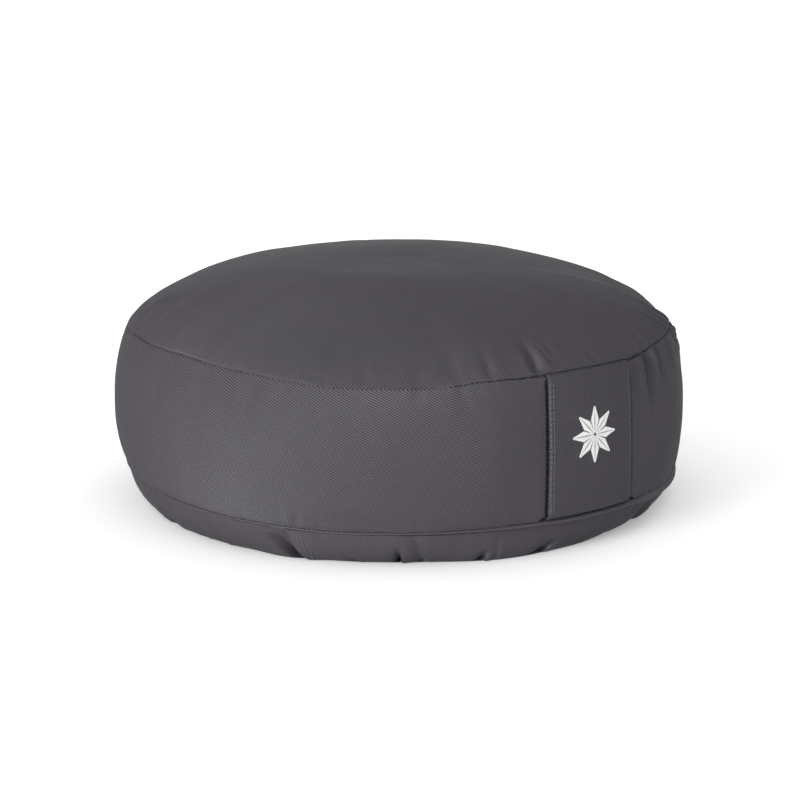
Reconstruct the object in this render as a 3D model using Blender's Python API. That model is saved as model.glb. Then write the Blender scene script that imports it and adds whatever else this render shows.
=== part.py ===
"""Round meditation cushion, filled firm: a crowned top, a bulging side band and a gathered base,
with a flat carry strap caught in both seams and a narrow folded welt in the base seam.

Metres, +Z up. The origin is the centre of the flat underside, and the strap is at the front, on -Y.
Azimuths are degrees round the axis from the strap, positive towards +X. Tables are in millimetres.
"""

from collections import namedtuple
from math import atan2, copysign, cos, degrees, exp, hypot, pi, radians, sin

import bmesh
import bpy

MM = 0.001

# The filled cover.
CROWN_HEIGHT = 135.6
CROWN_FALL = 3.26  # how flat the crown stays before it falls to the seam
CROWN_ROLL = 0.774  # how round its edge is
BELLY_RADIUS = 164.5
BELLY_HEIGHT = 58.0
SHOULDER_CURVE = 2.3  # the band from the belly up to the top seam
HAUNCH_CURVE = 2.4  # the band from the belly down to the base seam
TOP_CREVICE_DEPTH = 2.0
CREVICE_HALF = 0.3
CREVICE_SPARE = 0.2  # how much wider it opens where the strap goes in, past the clearance
STRAP_CREVICE = 0.6  # and how much deeper
BASE_CREVICE_DEPTH = 3.2
PUCKER_START = 3.5  # from the seam to a pucker's full depth
CROWN_SPREAD = 0.996  # the crown's edge, as a share of its seam's radius
CROWN_LEAN = 0.7  # how much higher the filling stands on one side
LEAN_PEAK = 0.385  # the most that r - r ** 3 reaches between 0 and 1
LEAN_AZIMUTH = -132.0
STEEP_SIDE = 0.35  # a gather's steep side, as a share of its gentle one
FOOT_PRESS = 0.75  # how much of a gather the weight presses flat at the foot
PRESS_START = 0.7  # from this share of the way down
ROLL_PLACE = 1.3  # from a gather's line to the top of its lip, in widths
ROLL_WIDTH = 0.8
GATHER_FADE = 1.2  # how soon a gather runs out on its way up
PUCKER_FADE = 1.5
PUCKER_PULL = 0.6  # how much of a crown pucker goes down, and as much inwards
TOP_LIP = 1.2  # from the top seam down to the band's upper edge
LIP_STANDS = 0.3  # how far it stands out of its seam, and the lower edge inside its own
BAND_LIP = 1.4  # from the base seam up to the band's lower edge
SKIRT_LIP = 1.5  # from the base seam down to the gathered base's upper edge
WELT_ROOM = 1.05  # half the base crevice, which the welt fills
STRAP_ROOM = 2.0  # what the strap's own thickness adds to the base crevice
SKIRT_ROUND = 0.65  # the base's side: a quarter circle mixed with this much less of a straight cone

# The strap, a doubled cloth with a thicker hem at each side.
STRAP_WIDTH = 63.0
STRAP_THICKNESS = 1.4
HEM_WIDTH = 4.4
HEM_THICKNESS = 2.0
HEM_ROUND = 0.8  # from its outer edge in to its full thickness
HEM_EDGE = 0.35  # its outer edge, as a share of the cloth's thickness
HEM_STEP = 0.4
STRAP_ARC_RADIUS = 160.0
STRAP_BOW = 1.3  # how far its middle stands out of the straight line between the seams
STRAP_STANDS = 0.8  # its inner face outside the top seam
STRAP_REST = 0.3  # what it keeps from the band above and below the gap, past the clearance
FINGER_GAP = 6.0
GAP_TOP = 88.0
GAP_BOTTOM = 34.0
GAP_FADE = 9.0
FLAT_REACH = 23.0  # degrees to each side over which the strap flattens the band
FLAT_SOFTNESS = 0.11  # how softly the flat ends there
STRAP_HALF_ANGLE = degrees(STRAP_WIDTH / 2.0 / STRAP_ARC_RADIUS)

# Where its cloth goes into the seams: out of the top seam, and up from the base seam, point by point.
STRAP_TOP = ((-1.9, 0.0), (-0.3, 0.05), (1.05, -0.2))
STRAP_BEND = 1.7  # the straight run starts so far under the top seam
STRAP_END = 5.0  # and ends so far above the base seam
STRAP_FOOT = ((1.15, 3.7), (0.35, 2.35), (-0.9, 1.9))

# The folded welt.
WELT_THICKNESS = 1.4
WELT_INSET = 0.4  # from the seam's own radius in to where the welt bends down
WELT_SPARE = 0.25  # behind it, past the clearance
WELT_TIP = 0.6  # how far its rounded edge stands out, in half thicknesses

CLEARANCE = 0.35  # between one piece and the next
COLUMNS = 144
ROW_SPACING = 0.9  # under 1 sets the band's rows a little closer at its foot
BESIDE_PUCKER = 0.9  # in widths, from a fold's line to the columns beside it
BEFORE_GATHER = 0.8
BEHIND_GATHER = 0.5
CROWN_ROWS = 10
BAND_ROWS = 11
SKIRT_ROWS = 6
STRAP_ROWS = 16
STRAP_STRIPS = 8
SHARP_ANGLE = 50.0
MERGE = 1e-6
CLOTH_ROUGHNESS = 0.9

# Where the seams and the foot run, station by station round the cushion.
Station = namedtuple("Station", "azimuth top_height top_radius base_height base_radius foot_radius")
STATIONS = (
    Station(-162, 97.5, 158.5, 22.0, 160.2, 148.0),
    Station(-132, 99.8, 157.0, 23.0, 158.8, 145.5),
    Station(-112, 102.0, 154.5, 22.6, 158.9, 144.8),
    Station(-90, 102.8, 152.6, 21.4, 159.7, 146.5),
    Station(-72, 100.6, 151.8, 20.2, 160.2, 148.0),
    Station(-56, 97.6, 152.4, 19.2, 160.6, 149.5),
    Station(-38, 98.0, 153.8, 19.6, 161.0, 149.5),
    Station(-20, 100.2, 155.4, 20.0, 161.3, 150.5),
    Station(-4, 102.2, 156.6, 19.8, 161.6, 149.5),
    Station(12, 100.8, 157.2, 19.6, 161.6, 147.5),
    Station(28, 103.6, 158.0, 18.4, 160.8, 146.5),
    Station(44, 103.2, 158.4, 18.6, 160.6, 147.0),
    Station(60, 99.8, 156.6, 18.8, 161.0, 147.5),
    Station(88, 99.4, 155.6, 19.8, 161.4, 148.5),
    Station(126, 100.0, 155.4, 20.8, 161.2, 147.0),
    Station(164, 99.0, 156.0, 21.4, 160.6, 148.0),
)

# How far the welt stands out of its seam, and how much it hangs, round the cushion.
Welt = namedtuple("Welt", "azimuth reach hang")
WELT_STATIONS = (
    Welt(-150, 0.9, 60),
    Welt(-100, 0.9, 45),
    Welt(-40, 1.1, 20),
    Welt(8, 1.6, 50),
    Welt(22, 3.8, 97),
    Welt(50, 4.2, 92),
    Welt(84, 2.2, 75),
    Welt(150, 1.2, 60),
)

# Gathers of the base, deepest near the foot: lean is how far each turns on its way up to the seam, width
# its gentle side, reach the share of the skirt that it climbs, and roll the height of the lip on its
# steep side. That is the +azimuth side, or the other one where the width is negative.
Gather = namedtuple("Gather", "azimuth lean width depth reach roll")
GATHERS = (
    Gather(-174, 2.0, 7.0, 5.0, 0.9, 1.2),
    Gather(-156, -1.5, -6.0, 3.0, 0.6, 0.8),
    Gather(-137, 2.5, 8.0, 6.0, 1.0, 2.0),
    Gather(-119, 0.0, 5.0, 2.5, 0.5, 0.4),
    Gather(-101, -2.0, -7.0, 4.5, 0.8, 1.2),
    Gather(-83, 1.5, 6.0, 2.5, 0.7, 0.6),
    Gather(-63, -3.0, 8.0, 8.5, 1.0, 2.2),
    Gather(-51, 1.0, 5.0, 2.0, 0.4, 0.5),
    Gather(-41, 0.4, 5.5, 6.5, 0.7, 1.8),
    Gather(-23, 0.6, 6.0, 5.0, 0.5, 2.2),
    Gather(-10, -1.0, -8.0, 4.6, 0.6, 1.0),
    Gather(19, 1.0, 8.0, 6.5, 1.0, 1.6),
    Gather(37, -1.2, -6.0, 4.0, 0.6, 1.0),
    Gather(54, 2.0, 7.0, 6.0, 0.9, 1.8),
    Gather(73, 0.0, 5.0, 2.6, 0.5, 0.5),
    Gather(92, -2.4, -8.0, 6.0, 1.0, 2.0),
    Gather(113, 1.0, 6.0, 3.6, 0.7, 0.8),
    Gather(131, 2.0, 7.0, 5.0, 0.8, 1.4),
    Gather(151, -1.0, -6.0, 3.0, 0.5, 0.6),
    Gather(168, 1.5, 7.0, 5.5, 1.0, 1.6),
)

# Puckers that run from the top seam, deepest at the seam: those on the crown run inwards, those on
# the band run down, and each leans by so many degrees over its length.
Pucker = namedtuple("Pucker", "azimuth lean length width depth")
CROWN_PUCKERS = (
    Pucker(-150, -8.0, 40.0, 6.0, 1.6),
    Pucker(-118, -9.0, 44.0, 6.0, 1.8),
    Pucker(-31, 1.5, 30.0, 5.0, 1.2),
    Pucker(-22.5, 1.2, 24.0, 4.0, 1.5),
    Pucker(-13.5, 2.4, 32.0, 5.0, 2.8),
    Pucker(-5, 4.0, 28.0, 4.0, 1.3),
    Pucker(24, -2.0, 30.0, 6.0, 2.4),
    Pucker(50, 0.0, 30.0, 36.0, 3.0),
    Pucker(67, 3.0, 26.0, 5.0, 1.6),
    Pucker(104, -3.0, 32.0, 6.0, 1.8),
    Pucker(158, 4.0, 30.0, 6.0, 1.6),
)
BAND_PUCKERS = (
    Pucker(-98, 1.0, 36.0, 7.0, 1.2),
    Pucker(-71, -1.0, 38.0, 7.0, 1.2),
    Pucker(-57.5, 1.0, 30.0, 6.0, 1.0),
    Pucker(16, 2.0, 28.0, 4.5, 3.2),
    Pucker(24, 1.0, 18.0, 4.0, 2.2),
    Pucker(31, 1.0, 12.0, 4.0, 1.6),
    Pucker(75, -2.0, 30.0, 6.0, 1.6),
    Pucker(118, 2.0, 34.0, 6.0, 1.6),
    Pucker(170, 1.0, 32.0, 6.0, 1.4),
    Pucker(-136, -2.0, 30.0, 6.0, 1.5),
)


def ease(share):
    """0 to 1 with a level start and a level end."""
    share = min(max(share, 0.0), 1.0)
    return share * share * (3.0 - 2.0 * share)


def turn(azimuth):
    """The same azimuth between -180 and 180."""
    return (azimuth + 180.0) % 360.0 - 180.0


def station_at(stations, azimuth):
    """The station at this azimuth, eased between its two neighbours round the ring."""
    for index, after in enumerate(stations):
        before = stations[index - 1]
        span = (after.azimuth - before.azimuth) % 360.0
        step = (azimuth - before.azimuth) % 360.0
        if step <= span:
            share = ease(step / span)
            return type(after)(*(a + (b - a) * share for a, b in zip(before, after)))
    return stations[0]


def bell(distance, width):
    return exp(-((distance / width) ** 2))


def under_strap(azimuth, spare=1.5, fade=2.5):
    """1 behind the strap and a little beyond each side of it, 0 elsewhere."""
    return 1.0 - ease((abs(turn(azimuth)) - STRAP_HALF_ANGLE - spare) / fade)


def strap_face(station, height):
    """Radius of the strap's inner face, which runs all but straight from the top seam to the base seam."""
    top = station.top_radius + STRAP_STANDS
    base = station.base_radius + STRAP_STANDS / 2.0
    share = (height - station.base_height) / (station.top_height - station.base_height)
    return base + (top - base) * share + STRAP_BOW * sin(pi * min(max(share, 0.0), 1.0))


def full_band(station, height):
    """Radius of the band before the strap flattens it."""
    if height > BELLY_HEIGHT:
        share = (height - BELLY_HEIGHT) / (station.top_height - TOP_LIP - BELLY_HEIGHT)
        return BELLY_RADIUS - (BELLY_RADIUS - station.top_radius - LIP_STANDS) * share**SHOULDER_CURVE
    share = (BELLY_HEIGHT - height) / (BELLY_HEIGHT - station.base_height)
    return BELLY_RADIUS - (BELLY_RADIUS - station.base_radius + LIP_STANDS) * share**HAUNCH_CURVE


def flattening(azimuth, height, station):
    """How far the taut strap holds the band in, as far as the gap behind it for the fingers."""
    rise = ease((height - GAP_BOTTOM + GAP_FADE) / GAP_FADE)
    fall = ease((GAP_TOP + GAP_FADE - height) / GAP_FADE)
    gap = CLEARANCE + STRAP_REST + (FINGER_GAP - CLEARANCE) * rise * fall
    at_edge = max(full_band(station, height) - strap_face(station, height) + gap, 0.0)
    flat = 1.0 - (turn(azimuth) / FLAT_REACH) ** 2
    soft = (flat + hypot(flat, FLAT_SOFTNESS)) / 2.0
    return at_edge * soft / (1.0 - (STRAP_HALF_ANGLE / FLAT_REACH) ** 2)


def pucker_depth(puckers, azimuth, distance, radius):
    """How deep the puckers are, so far from the seam that they start from. The seam itself stays in place."""
    depth = 0.0
    drawn = ease(distance / PUCKER_START)
    for pucker in puckers:
        share = distance / pucker.length
        if 0.0 <= share < 1.0:
            middle = pucker.azimuth + pucker.lean * share
            across = radians(turn(azimuth - middle)) * radius
            depth += drawn * pucker.depth * (1.0 - share) ** PUCKER_FADE * bell(across, pucker.width)
    return depth


def gather_depth(azimuth, share, radius):
    """How deep the base is gathered at this share of the way down, and less where it is pressed flat."""
    depth = 0.0
    for gather in GATHERS:
        climbed = (1.0 - share) / gather.reach
        if climbed < 1.0:
            middle = gather.azimuth + gather.lean * climbed
            across = radians(turn(azimuth - middle)) * radius * copysign(1.0, gather.width)
            width = abs(gather.width)
            hollow = gather.depth * bell(across, width if across < 0.0 else STEEP_SIDE * width)
            lip = gather.roll * bell(across - ROLL_PLACE * width, ROLL_WIDTH * width)
            depth += (hollow - lip) * (1.0 - climbed) ** GATHER_FADE
    return depth * (1.0 - FOOT_PRESS * ease((share - PRESS_START) / (1.0 - PRESS_START)))


def crown_point(azimuth, share):
    """The crown's middle at 0, its edge just above the top seam at 1."""
    station = station_at(STATIONS, azimuth)
    spread = sin(share * pi / 2.0) * CROWN_SPREAD
    radius = station.top_radius * spread
    height = station.top_height
    height += (CROWN_HEIGHT - station.top_height) * (1.0 - spread**CROWN_FALL) ** CROWN_ROLL
    lean = spread * (1.0 - spread**2) / LEAN_PEAK
    height += CROWN_LEAN * lean * cos(radians(azimuth - LEAN_AZIMUTH))
    pucker = PUCKER_PULL * pucker_depth(CROWN_PUCKERS, azimuth, station.top_radius - radius, radius)
    return radius - pucker * spread, height - pucker


def top_crevice_point(azimuth, share):
    station = station_at(STATIONS, azimuth)
    behind = under_strap(azimuth)
    half = CREVICE_HALF + (STRAP_THICKNESS / 2.0 + CLEARANCE + CREVICE_SPARE - CREVICE_HALF) * behind
    radius = station.top_radius - TOP_CREVICE_DEPTH - STRAP_CREVICE * behind
    return radius, station.top_height + half * (1.0 - 2.0 * share)


def band_point(azimuth, share):
    """The band from its lip under the top seam at 0 to its lip over the base seam at 1."""
    station = station_at(STATIONS, azimuth)
    top = station.top_height - TOP_LIP
    base = station.base_height + BAND_LIP + STRAP_ROOM * under_strap(azimuth)
    height = top + (base - top) * (0.5 - 0.5 * cos(share * pi)) ** ROW_SPACING
    radius = full_band(station, height)
    distance = top - height
    pucker = pucker_depth(BAND_PUCKERS, azimuth, distance, radius)
    return radius - flattening(azimuth, height, station) - pucker, height


def base_crevice_point(azimuth, share):
    station = station_at(STATIONS, azimuth)
    upper = station.base_height + WELT_ROOM + STRAP_ROOM * under_strap(azimuth)
    lower = station.base_height - WELT_ROOM
    return station.base_radius - BASE_CREVICE_DEPTH, upper + (lower - upper) * share


def skirt_point(azimuth, share):
    """The base from its lip under the welt at 0 to the edge of the flat underside at 1."""
    station = station_at(STATIONS, azimuth)
    top = station.base_height - SKIRT_LIP
    hang = radians(station_at(WELT_STATIONS, azimuth).hang)
    behind_welt = WELT_INSET + WELT_THICKNESS / 2.0 * sin(hang) + CLEARANCE + WELT_SPARE
    lip = station.base_radius - behind_welt
    angle = share * pi / 2.0
    cone = (1.0 - SKIRT_ROUND) * (1.0 - share)
    radius = station.foot_radius + (lip - station.foot_radius) * (SKIRT_ROUND * cos(angle) + cone)
    height = top * (SKIRT_ROUND * (1.0 - sin(angle)) + cone)
    return radius - gather_depth(azimuth, share, radius), height


def underside_point(azimuth, share):
    """The middle of the flat underside, at every azimuth."""
    return 0.0, 0.0


Row = namedtuple("Row", "place share down")


def cushion_rows():
    """Each row round the cushion, from the crown's middle to the middle of the underside.

    down says how far a row has left the crown's columns for the base's: 0 at the top seam, 1 at the
    base seam."""
    rows = [Row(crown_point, row / CROWN_ROWS, 0.0) for row in range(CROWN_ROWS + 1)]
    rows += [Row(top_crevice_point, share, 0.0) for share in (0.0, 1.0)]
    rows += [Row(band_point, row / BAND_ROWS, row / BAND_ROWS) for row in range(BAND_ROWS + 1)]
    rows += [Row(base_crevice_point, share, 1.0) for share in (0.0, 1.0)]
    rows += [Row(skirt_point, row / SKIRT_ROWS, 1.0) for row in range(SKIRT_ROWS + 1)]
    rows.append(Row(underside_point, 1.0, 1.0))
    return rows


def drawn_columns(folds, before, after):
    """How far each column turns, so that one lies in every fold and one at each side, by widths."""
    step = 360.0 / COLUMNS
    turns = {}
    for fold in folds:
        nearest = round(fold.azimuth / step)
        width = degrees(fold.width / BELLY_RADIUS)
        for side, aside in ((-1, -before), (0, 0.0), (1, after)):
            column = nearest + side * int(copysign(1, width))
            turns[column % COLUMNS] = fold.azimuth + aside * width - column * step
    return turns


def new_object(name, bm, colour):
    bmesh.ops.recalc_face_normals(bm, faces=bm.faces)
    mesh = bpy.data.meshes.new(name)
    bm.to_mesh(mesh)
    bm.free()
    mesh.shade_smooth()
    mesh.set_sharp_from_angle(angle=radians(SHARP_ANGLE))
    material = bpy.data.materials.new(name)
    material.use_nodes = True
    shader = material.node_tree.nodes["Principled BSDF"]
    shader.inputs["Base Color"].default_value = (*colour, 1.0)
    shader.inputs["Roughness"].default_value = CLOTH_ROUGHNESS
    shader.inputs["Metallic"].default_value = 0.0
    mesh.materials.append(material)
    thing = bpy.data.objects.new(name, mesh)
    bpy.context.scene.collection.objects.link(thing)
    return thing


def at(radius, azimuth, height):
    """The point at this radius, azimuth and height, from millimetres and degrees."""
    angle = radians(azimuth)
    return (radius * sin(angle) * MM, -radius * cos(angle) * MM, height * MM)


def make_cushion():
    """A section spun round the axis, then each point drawn to where its column and row lie."""
    rows = cushion_rows()
    bm = bmesh.new()
    row_of = bm.verts.layers.int.new("row")
    section = []
    for index, row in enumerate(rows):
        radius, height = row.place(0.0, row.share)
        vertex = bm.verts.new(at(radius, 0.0, height))
        vertex[row_of] = index
        section.append(vertex)
    section += [bm.edges.new(pair) for pair in zip(section, section[1:])]
    bmesh.ops.spin(
        bm, geom=section, axis=(0, 0, 1), cent=(0, 0, 0), angle=2 * pi, steps=COLUMNS, use_merge=True
    )
    step = 360.0 / COLUMNS
    upper = drawn_columns(CROWN_PUCKERS, BESIDE_PUCKER, BESIDE_PUCKER)
    lower = drawn_columns(GATHERS, BEFORE_GATHER, BEHIND_GATHER)
    for vertex in bm.verts:
        row = rows[vertex[row_of]]
        column = round(degrees(atan2(vertex.co.x, -vertex.co.y)) / step) % COLUMNS
        azimuth = column * step
        azimuth += (1.0 - row.down) * upper.get(column, 0.0) + row.down * lower.get(column, 0.0)
        radius, height = row.place(azimuth, row.share)
        vertex.co = at(radius, azimuth, height)
    bmesh.ops.remove_doubles(bm, verts=bm.verts, dist=MERGE)
    return new_object("cushion", bm, (0.115, 0.106, 0.113))


def make_welt():
    """A flat loop of section points swept round the base seam, with its root inside the crevice."""
    half = WELT_THICKNESS / 2.0
    bm = bmesh.new()
    rings = []
    for column in range(COLUMNS):
        azimuth = column * 360.0 / COLUMNS
        station = station_at(STATIONS, azimuth)
        welt = station_at(WELT_STATIONS, azimuth)
        hang = radians(welt.hang)
        out, down = cos(hang), sin(hang)
        root = station.base_radius - BASE_CREVICE_DEPTH + CLEARANCE
        mouth = station.base_radius - WELT_INSET
        tip = mouth + welt.reach * out
        drop = station.base_height - welt.reach * down
        loop = (
            (root, station.base_height + half),
            (mouth, station.base_height + half),
            (tip + half * down, drop + half * out),
            (tip + WELT_TIP * half * out, drop - WELT_TIP * half * down),
            (tip - half * down, drop - half * out),
            (mouth - half * down, station.base_height - half),
            (root, station.base_height - half),
        )
        rings.append([bm.verts.new(at(radius, azimuth, height)) for radius, height in loop])
    for ring in rings:
        for first, second in zip(ring, ring[1:] + ring[:1]):
            bm.edges.new((first, second))
    bmesh.ops.bridge_loops(bm, edges=bm.edges, use_pairs=False, use_cyclic=True)
    return new_object("base_welt", bm, (0.1, 0.092, 0.098))


def strap_section():
    """Half the strap's cloth, as (across, share of the hem's extra thickness), edge to edge."""
    half = STRAP_WIDTH / 2.0
    inner = half - HEM_WIDTH
    main = [-inner + 2.0 * inner * strip / STRAP_STRIPS for strip in range(STRAP_STRIPS + 1)]
    hem = [(-half, -1.0), (-half + HEM_ROUND, 1.0), (-inner - HEM_STEP, 1.0)]
    return hem + [(across, 0.0) for across in main] + [(-across, share) for across, share in reversed(hem)]


def strap_path(azimuth):
    """The middle of the cloth from inside the top seam, over the band's lip and down, into the base seam."""
    station = station_at(STATIONS, azimuth)
    top, base = station.top_height, station.base_height
    high, low = top - STRAP_BEND, base + STRAP_END
    path = [(station.top_radius + out, top + up) for out, up in STRAP_TOP]
    for row in range(STRAP_ROWS + 1):
        height = high + (low - high) * row / STRAP_ROWS
        path.append((strap_face(station, height) + STRAP_THICKNESS / 2.0, height))
    path += [(station.base_radius + out, base + up) for out, up in STRAP_FOOT]
    return path


def make_handle():
    section = strap_section()
    half = STRAP_THICKNESS / 2.0
    extra = (HEM_THICKNESS - STRAP_THICKNESS) / 2.0
    count = len(strap_path(0.0))
    bm = bmesh.new()
    rows = []
    for row in range(count):
        caught = row < len(STRAP_TOP) or row >= count - len(STRAP_FOOT)
        ring = []
        for side in (1, -1):
            for across, hem in section if side > 0 else reversed(section):
                azimuth = degrees(across / STRAP_ARC_RADIUS)
                path = strap_path(azimuth)
                before, after = path[max(row - 1, 0)], path[min(row + 1, count - 1)]
                out, up = before[1] - after[1], after[0] - before[0]
                size = hypot(out, up)
                if hem < 0.0:
                    thick = HEM_EDGE * half
                else:
                    thick = half + (0.0 if caught else extra * hem)
                radius = path[row][0] + side * thick * out / size
                height = path[row][1] + side * thick * up / size
                ring.append(bm.verts.new(at(radius, azimuth, height)))
        rows.append(ring)
    for ring in rows:
        for first, second in zip(ring, ring[1:] + ring[:1]):
            bm.edges.new((first, second))
    bmesh.ops.bridge_loops(bm, edges=bm.edges, use_pairs=False)
    bmesh.ops.holes_fill(bm, edges=[edge for edge in bm.edges if edge.is_boundary], sides=0)
    bmesh.ops.triangulate(bm, faces=[face for face in bm.faces if len(face.verts) > 4])
    return new_object("handle", bm, (0.098, 0.09, 0.096))


def main():
    for thing in list(bpy.data.objects):
        bpy.data.objects.remove(thing)
    make_cushion()
    make_welt()
    make_handle()


main()
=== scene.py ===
"""The look of a round meditation cushion: its twill cover with the creases that filling and sewing give it,
the folded welt in its base seam, the carry strap with its stitching, and an embroidered star on the strap.

Metres, +Z up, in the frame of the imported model, which stands on the surface with its strap on -Y.
Tables and cloth sizes are in millimetres. Azimuths are degrees round the axis from the strap, positive
towards +X.
"""

import random
from collections import namedtuple
from math import cos, degrees, pi, radians, sin

import bmesh
import bpy
import numpy as np
from mathutils import Matrix, Vector, noise


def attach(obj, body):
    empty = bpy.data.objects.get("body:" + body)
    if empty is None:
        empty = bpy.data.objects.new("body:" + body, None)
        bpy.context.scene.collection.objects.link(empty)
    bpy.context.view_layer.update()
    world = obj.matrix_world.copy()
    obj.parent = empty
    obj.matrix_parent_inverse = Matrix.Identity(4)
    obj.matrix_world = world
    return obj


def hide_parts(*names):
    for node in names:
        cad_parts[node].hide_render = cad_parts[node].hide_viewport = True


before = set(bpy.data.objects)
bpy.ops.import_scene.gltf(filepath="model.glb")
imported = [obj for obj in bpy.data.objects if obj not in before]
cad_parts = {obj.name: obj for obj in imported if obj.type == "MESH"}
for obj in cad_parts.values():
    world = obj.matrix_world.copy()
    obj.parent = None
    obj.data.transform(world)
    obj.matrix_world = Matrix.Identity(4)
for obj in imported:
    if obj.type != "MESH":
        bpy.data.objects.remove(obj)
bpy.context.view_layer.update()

MM = 0.001

# The filled cover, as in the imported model.
CROWN_HEIGHT = 135.6
CROWN_FALL = 3.26  # how flat the crown stays before it falls to the seam
CROWN_ROLL = 0.774  # how round its edge is
SHUT_ROLL = 0.86  # and where the seam is all but shut
CROWN_SPREAD = 0.996  # the crown's edge, as a share of its seam's radius
SHUT_SPREAD = 0.8  # how much further it reaches where the seam is all but shut
CROWN_LEAN = 0.7  # how much higher the filling stands on one side
LEAN_PEAK = 0.385
LEAN_AZIMUTH = -132.0
BELLY_RADIUS = 164.5
BELLY_HEIGHT = 58.0
SHOULDER_CURVE = 2.3
HAUNCH_CURVE = 2.4
TOP_LIP = 1.2  # from the top seam down to the band's upper edge
LIP_STANDS = 0.3
BAND_LIP = 1.4  # from the base seam up to the band's lower edge, behind the strap
SKIRT_ROUND = 0.65
STRAP_ROOM = 2.0  # what the strap's own thickness adds to the base crevice
CLEARANCE = 0.35
FOOT_PRESS = 0.97  # how much of a gather the weight presses flat at the foot
PRESS_START = 0.94
GATHER_FADE = 0.8
ROLL_PLACE = 0.55  # from a gather's steep side to the top of its lip, in widths
ROLL_WIDTH = 0.6
LIP_LEAN = 1.7  # how far a lip leans over its hollow, as a share of its height

# The strap.
STRAP_WIDTH = 60.8
STRAP_THICKNESS = 1.4
HEM_WIDTH = 3.5
HEM_THICKNESS = 1.7
HEM_STEP = 0.35
HEM_ROWS = (-29.7, -27.8)  # its two stitch rows, across the strap from its middle
EDGE_ROW = 29.2  # the single row beside the other edge
EDGE_ROLL = 0.8
EDGE_LEFT = 0.35  # the edge's thickness, as a share of the cloth's
STITCH_DIP = 0.24
STITCH_DIP_WIDTH = 0.4
STRAP_CAUGHT = 4.0  # how far from its seams the strap is held still
THIN_AT_SEAM = 0.6
STRAP_ROWS = 68
HEM_COLUMNS = 26
MIDDLE_COLUMNS = 52
EDGE_COLUMNS = 18
HEM_FINE = 0.4  # how far past the hem its close columns reach
EDGE_FINE = 3.0  # and how far in from the other edge
STRAP_ARC_RADIUS = 160.0
STRAP_BOW = 1.3
STRAP_STANDS = 0.8
STRAP_SLIT = 0.8  # the open slit under the strap's edges
FINGER_GAP = 6.0
GAP_TOP = 88.0
GAP_BOTTOM = 34.0
GAP_FADE = 9.0
FLAT_REACH = 23.0
FLAT_SOFTNESS = 0.11
GROOVE_FADE = 5.0
STRAP_HALF_ANGLE = degrees(STRAP_WIDTH / 2.0 / STRAP_ARC_RADIUS)
BEHIND_SPARE = 0.9  # how far past its sides, in degrees, the cover still lies as it does behind the strap
BEHIND_FADE = 1.8
HELD_SPARE = 0.5  # and how far past them the strap still holds the band's unevenness flat
HELD_FADE = 5.0
STRAP_BEND = 2.6  # from the top seam down to its straight run
STRAP_END = 5.0  # and from the base seam up to it
STRAP_ASIDE = -0.2  # how far it is sewn to one side at its top, in degrees, and from there to its foot
STRAP_SKEW = -0.8
STRAP_STATION = -4  # the azimuth of the station behind it
STRAP_BENDS = 7.0  # how much of its length its bends into both seams take

# Where it bends into the seams, row by row: out from the seam and up from it.
Bend = namedtuple("Bend", "out up")
STRAP_TOP = (
    Bend(-1.9, -0.2),
    Bend(-0.9, -0.25),
    Bend(-0.3, -0.3),
    Bend(0.4, -0.5),
    Bend(0.95, -0.9),
    Bend(1.3, -1.5),
)
STRAP_FOOT = (
    Bend(1.35, 4.3),
    Bend(1.15, 3.7),
    Bend(0.8, 3.0),
    Bend(0.35, 2.35),
    Bend(-0.25, 2.0),
    Bend(-0.9, 1.9),
)
MEASURED_ROW = len(STRAP_TOP) + 4  # a row below the bend, along which its width is measured

# Where the strap's edges press into the band: from the strap's middle to each groove, its width and depth.
Groove = namedtuple("Groove", "across width depth")
GROOVES = (Groove(-30.2, 0.85, 3.2), Groove(33.9, 0.9, 2.0))

# The welt.
WELT_THICKNESS = 1.4
WELT_ROOT = 2.8  # from the seam in to its sewn edge
WELT_INSET = 0.4
WELT_SPARE = 0.25
WELT_EDGE = 0.75  # how far its rounded edge stands out, in half thicknesses
WELT_EDGE_STEPS = 7
WELT_UPPER_STEP = 0.8  # from its mouth in to the next row, on its upper face
WELT_LOWER_STEP = 1.0  # and on its under face
WELT_LOWER_SPARE = 0.2

# Where the seams and the foot run, station by station round the cushion.
Station = namedtuple("Station", "azimuth top_height top_radius base_height base_radius foot_radius")
STATIONS = (
    Station(-162, 97.5, 158.5, 22.0, 160.2, 148.0),
    Station(-132, 98.9, 156.8, 23.0, 158.2, 144.4),
    Station(-112, 102.0, 154.5, 22.6, 158.0, 143.8),
    Station(-90, 102.8, 152.6, 21.4, 159.7, 146.5),
    Station(-76, 101.2, 151.8, 20.4, 160.1, 148.0),
    Station(-65, 99.2, 152.0, 19.7, 160.4, 152.0),
    Station(-56, 97.6, 152.4, 19.2, 160.6, 150.0),
    Station(-38, 98.0, 153.8, 19.6, 161.0, 149.5),
    Station(-20, 100.5, 155.4, 20.0, 161.3, 154.0),
    Station(-4, 100.8, 156.6, 19.8, 161.6, 151.0),
    Station(12, 100.0, 157.2, 19.6, 161.6, 146.6),
    Station(28, 102.7, 158.0, 18.4, 160.8, 145.6),
    Station(43, 102.8, 156.8, 18.6, 160.8, 147.0),
    Station(52, 98.8, 155.2, 18.7, 161.6, 147.2),
    Station(60, 97.2, 154.8, 18.8, 162.0, 147.5),
    Station(72, 99.4, 155.8, 19.2, 161.8, 148.0),
    Station(88, 99.6, 155.6, 19.8, 161.4, 148.5),
    Station(126, 100.0, 155.4, 20.8, 161.2, 147.0),
    Station(164, 99.0, 156.0, 21.4, 160.6, 148.0),
)

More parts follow.
